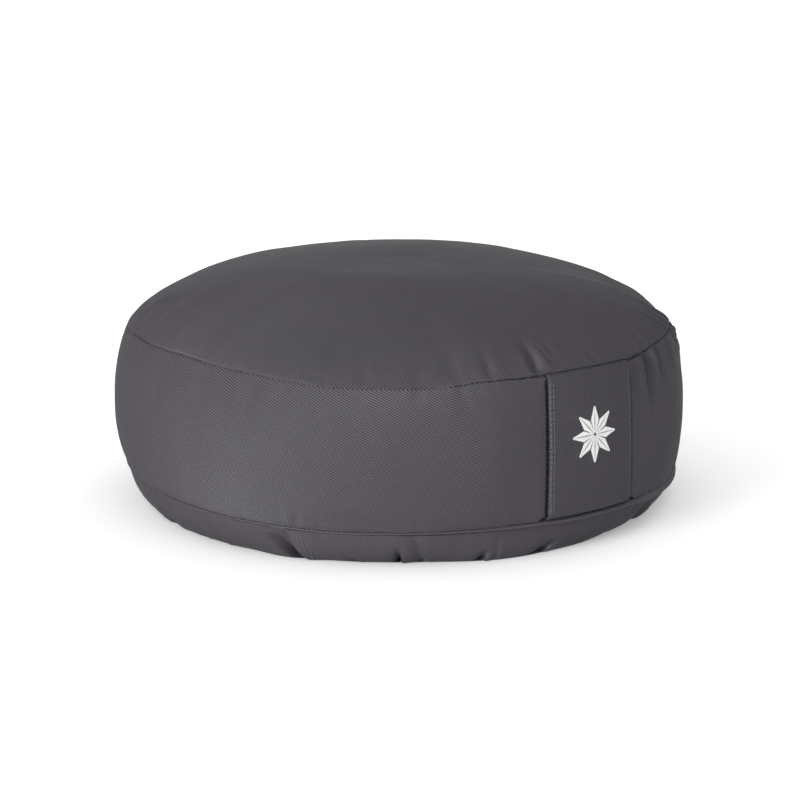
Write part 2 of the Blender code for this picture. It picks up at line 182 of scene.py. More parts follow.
# How far the top seam gapes, how far the band's edge rolls out under it, and how much its sewing shows:
# stitch dips and painted shade.
Seam = namedtuple("Seam", "azimuth open lip sewing")
SEAMS = (
    Seam(-140, 0.20, 0.20, 0.3),
    Seam(-112, 0.24, 0.30, 0.3),
    Seam(-94, 0.26, 0.30, 0.2),
    Seam(-84, 0.02, 0.15, 0.0),
    Seam(-58, 0.00, 0.10, 0.0),
    Seam(-34, 0.02, 0.10, 0.0),
    Seam(-26, 0.30, 0.20, 0.4),
    Seam(-13, 0.70, 0.30, 0.6),
    Seam(-5, 1.20, 0.30, 0.6),
    Seam(12, 1.00, 0.20, 0.6),
    Seam(24, 0.42, 0.30, 0.3),
    Seam(60, 0.40, 0.30, 0.3),
    Seam(110, 0.45, 0.30, 0.4),
    Seam(165, 0.40, 0.25, 0.4),
)
SEAM_SHUT = 0.35  # a seam that gapes less than this is all but shut
SHUT_LINE = 0.4  # from the crown's edge to the band's where it is shut
SHUT_STANDS = 0.22
SEWING_AWAY = 4.0  # how far off the sewing is taken to lie where none of it shows

# Short steps in the line of the top seam, where the cloth was eased in as it was sewn.
Kink = namedtuple("Kink", "azimuth width rise")
KINKS = (
    Kink(-104, 2.5, 0.35),
    Kink(-66, 2.0, -0.35),
    Kink(-47, 3.0, 0.4),
    Kink(-27.5, 1.2, 0.35),
    Kink(-24, 1.4, -0.4),
    Kink(-19, 1.2, -0.35),
    Kink(-15.5, 1.0, 0.3),
    Kink(20.3, 1.0, 0.8),
    Kink(27.5, 1.5, 0.4),
    Kink(71, 2.0, 0.5),
    Kink(118, 2.4, -0.5),
    Kink(152, 2.0, 0.4),
    Kink(-161, 2.2, -0.4),
)

# How far the welt stands out of its seam, how much it hangs, how thick it is, and the gap above it.
Welt = namedtuple("Welt", "azimuth reach hang thick gap")
WELT_STATIONS = (
    Welt(-150, 0.7, 60, 1.0, 0.15),
    Welt(-105, 0.2, 45, 0.8, 0.10),
    Welt(-84, 1.5, 10, 0.60, -0.10),
    Welt(-40, 1.5, 6, 0.60, -0.10),
    Welt(8, 1.8, 40, 0.80, 0.08),
    Welt(22, 3.8, 97, 1.4, 0.50),
    Welt(50, 5.2, 86, 1.4, 0.60),
    Welt(84, 2.2, 75, 1.4, 0.40),
    Welt(150, 1.0, 60, 1.1, 0.20),
)
WELT_UNDER = 1.5  # from the welt's under face down to the gathered base

# Creases that run from the top seam: inwards on the crown, downwards on the band. A crease starts so far
# from the seam, swings by lean degrees over its length and by bend in its middle, and is deepest at the
# share peak of its length. Its steep side is towards +azimuth, or the other one where width is negative.
# A negative depth is a ridge.
Crease = namedtuple("Crease", "azimuth lean bend start length peak width depth")
CROWN_CREASES = (
    Crease(-12.9, 0.4, 0.5, -1.0, 33.0, 0.16, 3.6, 2.8),
    Crease(-9.8, -0.6, 0.3, -1.0, 18.0, 0.25, 2.6, -0.4),
    Crease(-23.4, 0.4, 0.2, -1.0, 27.0, 0.20, 3.0, 1.1),
    Crease(-30.4, -0.2, 0.0, -1.0, 32.0, 0.30, 4.0, 0.8),
    Crease(-19.0, -0.4, 0.2, -1.0, 12.0, 0.20, 1.6, 0.4),
    Crease(-38.0, 0.4, 0.0, -1.0, 26.0, 0.35, 4.5, 0.45),
    Crease(-49.0, -1.0, 0.0, -1.0, 30.0, 0.35, 5.0, 0.35),
    Crease(-6.6, -1.6, 0.0, 1.0, 26.0, 0.50, 1.4, 0.75),
    Crease(-9.0, -1.4, 0.2, 2.0, 24.0, 0.50, 1.4, 0.5),
    Crease(2.5, -1.6, 0.0, -1.0, 18.0, 0.30, 1.8, 0.9),
    Crease(5.2, -1.2, 0.0, 1.0, 14.0, 0.40, 1.4, 0.25),
    Crease(29.4, -5.5, 0.4, -2.0, 22.0, 0.20, 2.2, -1.1),
    Crease(34.5, -4.5, 0.0, -2.0, 26.0, 0.18, 2.6, 2.2),
    Crease(38.6, -5.5, 0.4, -2.0, 30.0, 0.20, 2.2, -1.0),
    Crease(43.0, -4.0, 0.2, -2.0, 30.0, 0.20, 3.0, 1.6),
    Crease(57.0, 3.0, 0.0, -1.0, 26.0, 0.30, 3.4, 0.6),
    Crease(67.0, 3.0, 0.4, -1.0, 30.0, 0.30, 4.0, 0.8),
    Crease(82.0, -2.0, 0.0, -1.0, 24.0, 0.30, 3.4, 0.8),
    Crease(104.0, -3.0, 0.5, -1.0, 34.0, 0.30, 4.2, 1.6),
    Crease(112.0, -1.0, 0.0, -1.0, 18.0, 0.30, 2.4, 0.7),
    Crease(133.0, 2.0, 0.0, -1.0, 28.0, 0.30, 4.0, 0.9),
    Crease(158.0, 4.0, 0.4, -1.0, 34.0, 0.30, 4.0, 1.5),
    Crease(174.0, -1.0, 0.0, -1.0, 22.0, 0.30, 3.0, 0.7),
    Crease(-168.0, 2.0, 0.0, -1.0, 26.0, 0.30, 3.4, 0.9),
    Crease(-150.0, -4.0, 0.4, -1.0, 36.0, 0.30, 4.4, 1.4),
    Crease(-138.0, -2.0, 0.0, -1.0, 30.0, 0.30, 4.0, 0.8),
    Crease(-123.4, -3.0, 0.0, -2.0, 46.0, 0.20, 2.0, -1.5),
    Crease(-121.2, -3.0, 0.0, -1.0, 42.0, 0.20, 1.8, 2.0),
    Crease(-119.0, -3.0, 0.0, -2.0, 52.0, 0.20, 2.2, -1.5),
    Crease(-114.0, -6.0, 0.6, 2.0, 52.0, 0.40, 9.0, 0.8),
    Crease(-147.0, 0.0, 0.0, 0.0, 70.0, 0.40, 34.0, 0.7),
    Crease(62.0, 0.0, 0.0, 0.0, 34.0, 0.40, 20.0, -1.8),
    Crease(-99.0, -2.0, 0.0, -1.0, 34.0, 0.30, 5.0, 0.5),
    Crease(-84.0, 1.0, 0.0, -1.0, 28.0, 0.35, 5.0, 0.4),
)
BAND_CREASES = (
    Crease(-99.5, 4.0, 0.0, -1.0, 44.0, 0.35, 5.5, 0.75),
    Crease(-91.5, 2.0, 0.0, -1.0, 26.0, 0.35, 4.0, 0.35),
    Crease(-85.6, 2.4, 0.0, -1.0, 36.0, 0.35, 4.5, 0.6),
    Crease(-78.6, 1.4, 0.0, -1.0, 28.0, 0.35, 4.0, 0.35),
    Crease(-72.6, 0.6, 0.0, -1.0, 34.0, 0.35, 5.0, 0.7),
    Crease(-65.4, -0.4, 0.0, -1.0, 30.0, 0.35, 4.0, 0.5),
    Crease(-58.2, 1.6, 0.0, -1.0, 32.0, 0.35, 4.2, 0.5),
    Crease(-50.0, 1.0, 0.0, -1.0, 24.0, 0.35, 4.0, 0.25),
    Crease(-29.0, 1.0, 0.0, -1.0, 26.0, 0.35, 4.0, 0.25),
    Crease(13.0, 1.6, 0.0, -1.0, 28.0, 0.20, 1.8, 2.4),
    Crease(15.0, 1.2, 0.0, -1.0, 36.0, 0.14, 1.6, -1.2),
    Crease(17.4, 2.2, 0.2, -3.0, 46.0, 0.18, -3.2, 6.0),
    Crease(20.0, 1.6, 0.2, -1.0, 34.0, 0.14, 1.8, -1.8),
    Crease(22.6, 1.6, 0.0, -3.0, 34.0, 0.20, -2.6, 5.0),
    Crease(26.0, 1.4, 0.0, -1.0, 28.0, 0.14, 2.0, -1.3),
    Crease(29.8, 2.4, 0.0, -1.0, 26.0, 0.20, -2.6, 2.8),
    Crease(52.0, 0.0, 0.0, -4.0, 36.0, 0.35, 30.0, -1.6),
    Crease(35.2, 12.5, 0.0, -2.0, 24.0, 0.20, 1.6, -1.2),
    Crease(36.8, 12.5, 0.0, -2.0, 20.0, 0.20, 2.0, 2.0),
    Crease(39.8, 12.0, 0.0, -2.0, 20.0, 0.20, 1.8, -1.1),
    Crease(45.0, 3.0, 0.0, -1.0, 30.0, 0.35, 3.0, 0.9),
    Crease(60.0, -1.0, 0.0, -1.0, 28.0, 0.30, 3.6, 0.8),
    Crease(75.0, -2.0, 0.3, -1.0, 34.0, 0.30, 4.2, 1.2),
    Crease(81.0, -1.0, 0.0, -1.0, 22.0, 0.30, 2.8, 0.6),
    Crease(97.0, 1.0, 0.0, -1.0, 26.0, 0.30, 4.0, 0.6),
    Crease(118.0, 2.0, 0.3, -1.0, 38.0, 0.30, 4.4, 1.2),
    Crease(125.0, 1.0, 0.0, -1.0, 24.0, 0.30, 3.0, 0.5),
    Crease(144.0, -1.0, 0.0, -1.0, 28.0, 0.30, 4.0, 0.7),
    Crease(170.0, 1.0, 0.3, -1.0, 36.0, 0.30, 4.4, 1.1),
    Crease(-177.0, 0.0, 0.0, -1.0, 22.0, 0.30, 3.0, 0.5),
    Crease(-157.0, 1.0, 0.0, -1.0, 30.0, 0.30, 4.0, 0.7),
    Crease(-136.0, -2.0, 0.3, -1.0, 34.0, 0.30, 4.4, 1.2),
    Crease(-128.0, 1.0, 0.0, -1.0, 24.0, 0.30, 3.0, 0.5),
    Crease(-113.0, 1.0, 0.0, -1.0, 34.0, 0.30, 4.6, 0.7),
)
# Creases that run up the band from the base seam.
HAUNCH_CREASES = (
    Crease(-84.0, 1.0, 0.0, -1.0, 16.0, 0.30, 3.0, 0.4),
    Crease(-62.5, 1.0, 0.0, -1.0, 14.0, 0.30, 3.0, 0.35),
    Crease(-41.0, 0.6, 0.0, -1.0, 14.0, 0.30, 2.6, 0.35),
    Crease(-22.5, 0.4, 0.0, -1.0, 12.0, 0.30, 2.6, 0.3),
    Crease(19.0, 0.6, 0.0, -1.0, 14.0, 0.30, 2.8, 0.4),
    Crease(34.0, -0.6, 0.0, -1.0, 12.0, 0.30, 2.6, 0.4),
    Crease(56.0, 0.8, 0.0, -1.0, 16.0, 0.30, 3.0, 0.5),
    Crease(93.0, -0.8, 0.0, -1.0, 16.0, 0.30, 3.0, 0.5),
    Crease(132.0, 0.8, 0.0, -1.0, 14.0, 0.30, 3.0, 0.4),
    Crease(166.0, -0.8, 0.0, -1.0, 16.0, 0.30, 3.0, 0.5),
    Crease(-140.0, 0.6, 0.0, -1.0, 16.0, 0.30, 3.0, 0.5),
    Crease(-108.0, -0.6, 0.0, -1.0, 14.0, 0.30, 3.0, 0.4),
)
STEEP_SIDE = 0.72  # the width of a crease's steep side, as a share of its gentle side's
LIP_SHARE = 0.30  # the height of the soft lips beside it, as a share of its depth
LIP_NEAR = 1.4  # from its deepest line to the lip on its steep side, in widths
LIP_FAR = 2.1  # and to the one on its gentle side

# Gathers of the base, deepest near the foot: lean is how far each turns on its way up to the seam, width
# its gentle side, steep the width of its other side as a share of it, reach the share of the skirt that it
# climbs, and roll the height of the lip on its steep side. That is the +azimuth side, or the other one
# where the width is negative.
Gather = namedtuple("Gather", "azimuth lean width steep depth reach roll")
GATHERS = (
    Gather(-174, 2.0, 7.0, 0.35, 5.0, 0.9, 1.2),
    Gather(-165, 0.0, 3.0, 0.60, 1.2, 0.5, 0.3),
    Gather(-156, -1.5, -6.0, 0.35, 3.0, 0.6, 0.8),
    Gather(-147, 0.5, 3.5, 0.60, 1.4, 0.7, 0.4),
    Gather(-137, 2.5, 8.0, 0.30, 6.0, 1.0, 2.0),
    Gather(-119, 0.0, 5.0, 0.40, 2.5, 0.5, 0.4),
    Gather(-110, 1.0, 3.0, 0.60, 1.0, 0.6, 0.3),
    Gather(-101, -2.0, -7.0, 0.35, 4.5, 0.8, 1.2),
    Gather(-92, -1.0, 3.4, 0.60, 1.2, 0.6, 0.3),
    Gather(-96.0, -3.5, 2.4, 0.40, 2.6, 0.8, 0.6),
    Gather(-87.0, -3.0, 2.2, 0.40, 2.0, 0.5, 0.5),
    Gather(-80.4, -3.2, 3.0, 0.30, 4.0, 0.9, 1.0),
    Gather(-72, 0.6, 3.0, 0.70, 0.6, 0.5, 0.2),
    Gather(-61.4, -5.6, 6.0, 0.20, 16.0, 0.85, 0.0),
    Gather(-60.1, -5.6, 7.0, 0.14, 8.0, 1.1, 2.8),
    Gather(-49.6, -3.0, 3.0, 0.25, 4.0, 0.45, 1.2),
    Gather(-41.3, -0.8, 1.8, 0.30, 6.0, 0.6, 0.0),
    Gather(-41.0, -0.8, 4.4, 0.20, 5.0, 0.75, 2.2),
    Gather(-36.6, -2.2, 3.2, 0.60, 3.4, 1.0, 0.5),
    Gather(-31, 0.6, 3.0, 0.70, 0.6, 0.5, 0.2),
    Gather(-24.4, 0.2, 4.2, 0.25, 7.0, 0.5, 2.0),
    Gather(-22.0, 0.2, 2.0, 0.50, 1.2, 0.9, 0.8),
    Gather(-11.6, 3.0, 6.0, 0.30, 7.0, 0.6, 1.0),
    Gather(-1.5, 0.6, 3.2, 0.60, 1.2, 0.5, 0.3),
    Gather(9, 0.4, 3.4, 0.60, 1.0, 0.5, 0.3),
    Gather(21, 1.4, 7.5, 0.30, 6.5, 1.0, 1.6),
    Gather(29, 0.4, 3.0, 0.60, 1.2, 0.6, 0.4),
    Gather(37, -1.2, -6.0, 0.35, 4.0, 0.6, 1.0),
    Gather(46, 0.4, 3.0, 0.60, 1.2, 0.6, 0.4),
    Gather(54, 2.0, 7.0, 0.30, 6.0, 0.9, 1.8),
    Gather(64, 0.4, 3.4, 0.60, 1.2, 0.6, 0.4),
    Gather(73, 0.0, 5.0, 0.40, 2.6, 0.5, 0.5),
    Gather(83, 0.6, 3.2, 0.60, 1.4, 0.7, 0.4),
    Gather(92, -2.4, -8.0, 0.30, 6.0, 1.0, 2.0),
    Gather(103, 0.4, 3.0, 0.60, 1.0, 0.6, 0.3),
    Gather(113, 1.0, 6.0, 0.35, 3.6, 0.7, 0.8),
    Gather(122, 0.4, 3.2, 0.60, 1.4, 0.6, 0.4),
    Gather(131, 2.0, 7.0, 0.35, 5.0, 0.8, 1.4),
    Gather(142, 0.4, 3.0, 0.60, 1.2, 0.6, 0.4),
    Gather(151, -1.0, -6.0, 0.35, 3.0, 0.5, 0.6),
    Gather(160, 0.4, 3.2, 0.60, 1.2, 0.6, 0.4),
    Gather(168, 1.5, 7.0, 0.35, 5.5, 1.0, 1.6),
)

# Sewing thread, and the embroidered star.
STITCH_PITCH = 3.0
STITCH_LENGTH = 2.6
STITCH_WIDTH = 0.48
STITCH_THICK = 0.36
STITCH_OUT = 0.10
STITCH_FOOT = 25.0
STITCH_TOP = 96.0
STITCH_SEED = 5
STITCH_STRAY = 0.12  # how far a stitch starts off its row
STITCH_TILT = 0.1
STITCH_SPREAD = (0.92, 1.06)  # the shortest and the longest, as shares of the usual length
STAR_POINTS = 8
STAR_HEIGHT = 64.6
STAR_RADIUS = 16.6
STAR_WAIST = 0.5
STAR_HALF_WIDTH = 3.05
STAR_HEART = 1.0
STAR_VEIN = 0.12
STAR_SLANT = 58.0
STAR_PITCH = 0.46
STAR_THREAD = 0.5
STAR_THICK = 0.5
STAR_OUT = 0.16
STAR_SEED = 8
STAR_TIP = 0.3  # left bare at the end of each point
STAR_OVERLAP = 0.12  # how far each thread starts beyond the point's axis
STAR_SPREAD = (0.97, 1.03)
STAR_SHORTEST = 0.35
THREAD_SIDES = 6
THREAD_RINGS = 5

# The stage, in metres, with the camera's lens and sensor in millimetres.
CAMERA_AZIMUTH = -42.0
CAMERA_ELEVATION = 14.06
CAMERA_DISTANCE = 2.0
CAMERA_AIM = 0.0529
CAMERA_LENS = 154.8
CAMERA_SENSOR = 36.0
CAMERA_SHIFT = (0.001875, 0.00125)
FLOOR_SIZE = 14.0
FLOOR_COLOUR = (0.97, 0.97, 0.97)
FLOOR_GLOW = 0.22  # as a lit table's paper
SKY_COLOUR = (1.0, 1.0, 1.0)
SKY_STRENGTH = 0.87
SKY_GLOSS = 0.09  # the share of it that shines on the cloth
Softbox = namedtuple("Softbox", "name azimuth elevation distance width height power shines")
SOFTBOXES = (
    Softbox("key", -83.0, 13.0, 3.0, 1.2, 1.0, 54.0, True),
    Softbox("side", 112.0, 16.0, 3.0, 1.2, 0.8, 12.0, False),
)

COVER_COLOUR = (0.0735, 0.066, 0.080)
# the cover's cloth painted paler, a painted highlight so that the welt's ridge reads as lit
WELT_PAINTED_LIT_COLOUR = (0.097, 0.087, 0.105)
STRAP_COLOUR = (0.0675, 0.0605, 0.0735)
STITCH_COLOUR = (0.150, 0.140, 0.156)
STAR_COLOUR = (0.86, 0.86, 0.85)

COLUMNS = 640
WELT_COLUMNS = 1080
SECTION_STEPS = 400  # to measure a section along its length
FINEST = 0.5  # between rows beside a seam
COLUMN_DRAW = 1.6  # how much closer the columns stand at a crease
COLUMN_REACH = 2.5
COLUMN_DEPTH = 2.0  # creases this deep or deeper draw them in fully
COLUMN_STEPS = 7200  # to work out where they stand
GROOVE_DRAW = 7.0
GROOVE_REACH = 1.0

# Rows down a panel: the first and last steps, how fast they grow away from the ends, and the longest.
Spacing = namedtuple("Spacing", "first last growth most")
CROWN_ROWS = Spacing(6.0, FINEST, 0.06, 6.0)
BAND_ROWS = Spacing(FINEST, FINEST, 0.12, 1.9)
SKIRT_ROWS = Spacing(FINEST, 0.8, 0.12, 1.0)
UNDER_ROWS = Spacing(0.01, 0.2, 0.5, 0.2)  # as shares of the underside's radius

# The edges tucked into the seams: out from the seam, up in half widths of its crevice, and the same where it
# is shut, as the base seam never is.
Tuck = namedtuple("Tuck", "out up shut", defaults=(0.0,))
CROWN_TUCK = (Tuck(-0.75, 0.95, 0.7), Tuck(-1.2, 0.8, 0.4), Tuck(-1.9, 0.6, 0.1))
BAND_TOP_TUCK = (Tuck(-1.9, -0.6, -0.2), Tuck(-1.0, -0.8, -0.5), Tuck(-0.2, -0.95, -0.8))
BAND_BASE_TUCK = (Tuck(-0.8, 1.05), Tuck(-1.8, 1.0), Tuck(-3.1, 0.9))
BASE_TUCK = (Tuck(-3.1, -0.9), Tuck(-2.8, -2.4), Tuck(-2.4, -3.6))
TOP_ROOM_UNDER_STRAP = 1.05
BASE_SPARE = 0.1  # beyond half the welt's thickness
TUCK_EASE = 0.6  # how much of its unevenness the cloth keeps where it turns into a seam

# How unevenly the filling and the sewing draw the cloth in.
Lump = namedtuple("Lump", "size depth seed")
LUMPS = (Lump(62.0, 1.0, 1), Lump(24.0, 0.35, 2), Lump(9.0, 0.08, 3))
SEWN = Lump(5.2, 0.42, 4)
WELT_WANDER = Lump(14.0, 0.25, 9)
STRAP_WAVE = Lump(21.0, 0.45, 11)
NOISE_SHIFT = (7.3, 3.1, 5.7)  # from one seed's noise to the next one's
SEWN_REACH = 9.0
SEWN_STRETCH = 0.35
CROWN_CALM = 14.0  # the crown's middle is level
FOOT_LIFT = 0.12  # how far a gather's hollow stands off the surface, as a share of its depth
FOOT_LIFT_REACH = 16.0
LIP_DOWN = 1.6  # from the band's upper edge to the crest of its lip
LIP_WIDTH = 1.7
STRAP_CALM = 0.85  # how much of the unevenness the strap holds flat
MERGE = 1e-6

# The twill: its diagonal ribs lie at these angles to each panel's own length. How far they stand out, in bump
# and in the painted highlight and shade of their crests, is set round the band, most where the key light
# rakes across them.
RIB_PITCH = 1.36
THREAD_PITCH = 0.62
CROWN_RIBS = -3.0
CROWN_STRETCH = 1.08  # the crown's ribs stand this much further apart, drawn tight over the filling
BASE_RIBS = 5.0
STRAP_RIBS = 48.0
WELT_RIBS = 42.0
Grain = namedtuple("Grain", "azimuth ribs relief")
BAND_GRAIN = (
    Grain(-160, -24, 0.6),
    Grain(-112, -15, 0.5),
    Grain(-92, -16, 1.1),
    Grain(-75, -21, 1.3),
    Grain(-55, -27, 1.3),
    Grain(-35, -34, 1.0),
    Grain(-14, -34, 0.6),
    Grain(16, -34, 0.25),
    Grain(60, -32, 0.25),
    Grain(110, -30, 0.6),
)
MIDDLE_RELIEF = 0.25  # in the middle of the crown
MIDDLE_START = 40.0
MIDDLE_REACH = 110.0
BASE_RELIEF = 0.45
GATHER_CALM = 2.0  # the deeper a gather, the less its ribs show
WELT_RELIEF = 0.4
STRAP_RELIEF = 0.6
RIB_HEIGHT = 0.0003  # in metres, as the lengths below it are
WELT_RIB_HEIGHT = 0.0002

# How high each part of the weave stands, as a share of a rib, and how much it lights or darkens the cloth's
# colour; for the crests that is a painted highlight, with painted shade between them.
Weave = namedtuple("Weave", "height tone")
CREST = Weave(0.9, 0.75)
TWIST = Weave(0.15, 0.05)
SLUB = Weave(0.12, 0.06)
SLUB_SCALE = 900.0
YARN_DETAIL = 3.0
Mottle = namedtuple("Mottle", "scale amount")
RIB_WANDER = (Mottle(60.0, 0.0003), Mottle(16.0, 0.0012))
PATCHES = (Mottle(9.0, 0.10), Mottle(45.0, 0.07))
PLAIN_TONE = 0.88  # the cloth's tone where its ribs stand out not at all
# painted light: paler where the ribs stand out more, making up for the shade of their steep bump
RELIEF_TONE = 0.12
DARKEST = 0.5  # the shades that tones run between, as shares of the cloth's colour
PALEST = 1.5
SEAM_NEAR = 0.0002  # the sewing shows in full this near its seam, and not at all beyond SEAM_FAR
SEAM_FAR = 0.0024
STITCH_SINK = 1.1  # how deep a seam's stitches pull in, in ribs
# painted shade along a seam's crevice, and more of it in the dips of its stitches
SEAM_PAINTED_SHADE = 0.10
STITCH_PAINTED_SHADE = 0.10
FIBRE_SCALE = 2600.0
FIBRE_HEIGHT = 0.0001
THREAD_DARKEST = 0.82
THREAD_PALEST = 1.12


def ease(share):
    """0 to 1 with a level start and a level end."""
    share = np.clip(share, 0.0, 1.0)
    return share * share * (3.0 - 2.0 * share)


def turn(azimuth):
    """The same azimuth between -180 and 180."""
    return (azimuth + 180.0) % 360.0 - 180.0


def bell(distance, width):
    return np.exp(-((distance / width) ** 2))


def around(table, azimuths):
    """A table of stations read at each azimuth, eased from one station to the next."""
    values = np.array(table, float)
    first = values[0, 0]
    before = np.searchsorted(values[:, 0], (azimuths - first) % 360.0 + first, side="right") - 1
    after = (before + 1) % len(values)
    span = (values[after, 0] - values[before, 0]) % 360.0
    share = ease(((azimuths - values[before, 0]) % 360.0) / span)[:, None]
    return type(table[0])(*(values[before] + (values[after] - values[before]) * share).T)


def graded(length, spacing):
    """Distances from 0 to length, close together at both ends and wider apart between them."""
    first, last, growth, most = spacing
    places = [0.0]
    while places[-1] < length:
        place = places[-1]
        places.append(place + min(first + growth * place, most, max(last + growth * (length - place), last)))
    return np.array(places) * length / places[-1]


def uneven(points, lump):
    """How far such lumps draw the cloth in or out, smoothly, at points in millimetres."""
    shift = Vector([lump.seed * step for step in NOISE_SHIFT])
    found = [noise.noise(Vector(point) + shift) for point in points.reshape(-1, 3) / lump.size]
    return lump.depth * np.array(found).reshape(points.shape[:-1])


def placed(radius, azimuth, height):
    """Points, in millimetres, at these radii, azimuths and heights."""
    angle = np.radians(azimuth)
    return np.stack(np.broadcast_arrays(radius * np.sin(angle), -radius * np.cos(angle), height), axis=-1)


def under_strap(azimuth, spare, fade):
    """1 behind the strap and so far past each side of it, then fading to 0."""
    aside = np.abs(turn(azimuth - STRAP_ASIDE - STRAP_SKEW / 2.0))
    return 1.0 - ease((aside - STRAP_HALF_ANGLE - spare) / fade)


def strap_face(ring, height):
    """Radius of the strap's inner face, which runs all but straight from the top seam to the base seam."""
    top = ring.top_radius + STRAP_STANDS
    base = ring.base_radius + STRAP_STANDS / 2.0
    share = (height - ring.base_height) / (ring.top_height - ring.base_height)
    return base + (top - base) * share + STRAP_BOW * np.sin(pi * np.clip(share, 0.0, 1.0))


def full_band(ring, height):
    """Radius of the band before the strap flattens it."""
    up = np.clip((height - BELLY_HEIGHT) / (ring.top_height - TOP_LIP - BELLY_HEIGHT), 0.0, None)
    down = np.clip((BELLY_HEIGHT - height) / (BELLY_HEIGHT - ring.base_height), 0.0, None)
    shoulder = (BELLY_RADIUS - ring.top_radius - LIP_STANDS) * up**SHOULDER_CURVE
    haunch = (BELLY_RADIUS - ring.base_radius + LIP_STANDS) * down**HAUNCH_CURVE
    return BELLY_RADIUS - shoulder - haunch


def flattening(azimuth, height, ring):
    """How far the taut strap holds the band in, and the gap behind its middle for the fingers."""
    rise = ease((height - GAP_BOTTOM + GAP_FADE) / GAP_FADE)
    fall = ease((GAP_TOP + GAP_FADE - height) / GAP_FADE)
    inside = 1.0 - ease(np.abs(turn(azimuth)) / STRAP_HALF_ANGLE)
    gap = (FINGER_GAP - CLEARANCE) * rise * fall * inside
    at_edge = np.maximum(full_band(ring, height) - strap_face(ring, height) + STRAP_SLIT, 0.0)
    flat = 1.0 - (turn(azimuth) / FLAT_REACH) ** 2
    soft = (flat + np.hypot(flat, FLAT_SOFTNESS)) / 2.0
    return at_edge * soft / (1.0 - (STRAP_HALF_ANGLE / FLAT_REACH) ** 2) + gap


def crease_depth(creases, azimuth, distance, radius):
    """How far the creases draw the cloth in, at each distance from their seam."""
    depth = np.zeros(np.broadcast_shapes(azimuth.shape, distance.shape))
    for crease in creases:
        share = (distance - crease.start) / crease.length
        inside = (share > 0.0) & (share < 1.0)
        rising, falling = share / crease.peak, (1.0 - share) / (1.0 - crease.peak)
        along = ease(np.where(share < crease.peak, rising, falling))
        middle = crease.azimuth + crease.lean * share + crease.bend * 4.0 * share * (1.0 - share)
        width = abs(crease.width)
        across = np.radians(turn(azimuth - middle)) * radius * np.sign(crease.width)
        hollow = np.where(across > 0.0, bell(across, STEEP_SIDE * width), bell(across, width))
        lips = bell(across - LIP_NEAR * width, width) + bell(across + LIP_FAR * width, width)
        depth += np.where(inside, crease.depth * along * (hollow - LIP_SHARE * lips), 0.0)
    return depth


def gathered(azimuth, share, radius):
    """How deep the base is gathered at this share of the way down, and how far each lip leans over."""
    depth = np.zeros(np.broadcast_shapes(azimuth.shape, share.shape))
    slide = np.zeros_like(depth)
    for gather in GATHERS:
        climbed = (1.0 - share) / gather.reach
        middle = gather.azimuth + gather.lean * climbed
        across = np.radians(turn(azimuth - middle)) * radius * np.sign(gather.width)
        width = abs(gather.width)
        steep = gather.steep * width
        hollow = gather.depth * bell(across, np.where(across < 0.0, width, steep))
        lip = gather.roll * bell(across - steep - ROLL_PLACE * width, ROLL_WIDTH * width)
        fade = np.clip(1.0 - climbed, 0.0, 1.0) ** GATHER_FADE
        depth += (hollow - lip) * fade
        slide -= np.degrees(LIP_LEAN * lip * fade * np.sign(gather.width) / radius)
    pressed = 1.0 - FOOT_PRESS * ease((share - PRESS_START) / (1.0 - PRESS_START))
    return depth * pressed, slide * pressed


def arc_run(radius, height):
    """How far each row of a section has come along it, at each column."""
    steps = np.hypot(np.diff(radius, axis=0), np.diff(height, axis=0))
    return np.concatenate([np.zeros((1, steps.shape[1])), np.cumsum(steps, axis=0)])


def measured(points):
    """How far each point of a line has come along it."""
    steps = np.linalg.norm(np.diff(points, axis=0), axis=1)
    return np.concatenate([[0.0], np.cumsum(steps)])


def rows_of(section, spacing):
    """A section's rows, spaced as graded() says: their radii, heights and shares."""
    shares = np.linspace(0.0, 1.0, SECTION_STEPS)[:, None]
    run = arc_run(*section(shares)).mean(axis=1)
    rows = np.interp(graded(run[-1], spacing), run, shares[:, 0])[:, None]
    return (*section(rows), rows)


def tucked(tucks, radius, height, room, flush=0.0):
    """The rows inside a seam's crevice, which fills up to the cloth's face where flush nears 1."""
    out = [radius + tuck.out + (SHUT_STANDS - tuck.out) * flush for tuck in tucks]
    up = [height + (tuck.up + (tuck.shut - tuck.up) * flush) * room for tuck in tucks]
    return np.stack(out), np.stack(up)


def pushed(radius, height, inwards):
    """The section's points moved inwards along its normals."""
    out, down = np.gradient(radius, axis=0), np.gradient(height, axis=0)
    size = np.hypot(out, down)
    return radius + inwards * down / size, height - inwards * out / size


def turned(across, up, ribs):
    """Cloth coordinates along and across the twill's ribs, which lie at this angle."""
    angle = radians(ribs)
    return np.stack([across * cos(angle) + up * sin(angle), up * cos(angle) - across * sin(angle)], axis=-1)


# One panel of the cover: its points, its cloth laid flat, each point's place beside the nearest seam, and
# how far its ribs stand out.
Panel = namedtuple("Panel", "points weave sewing relief")


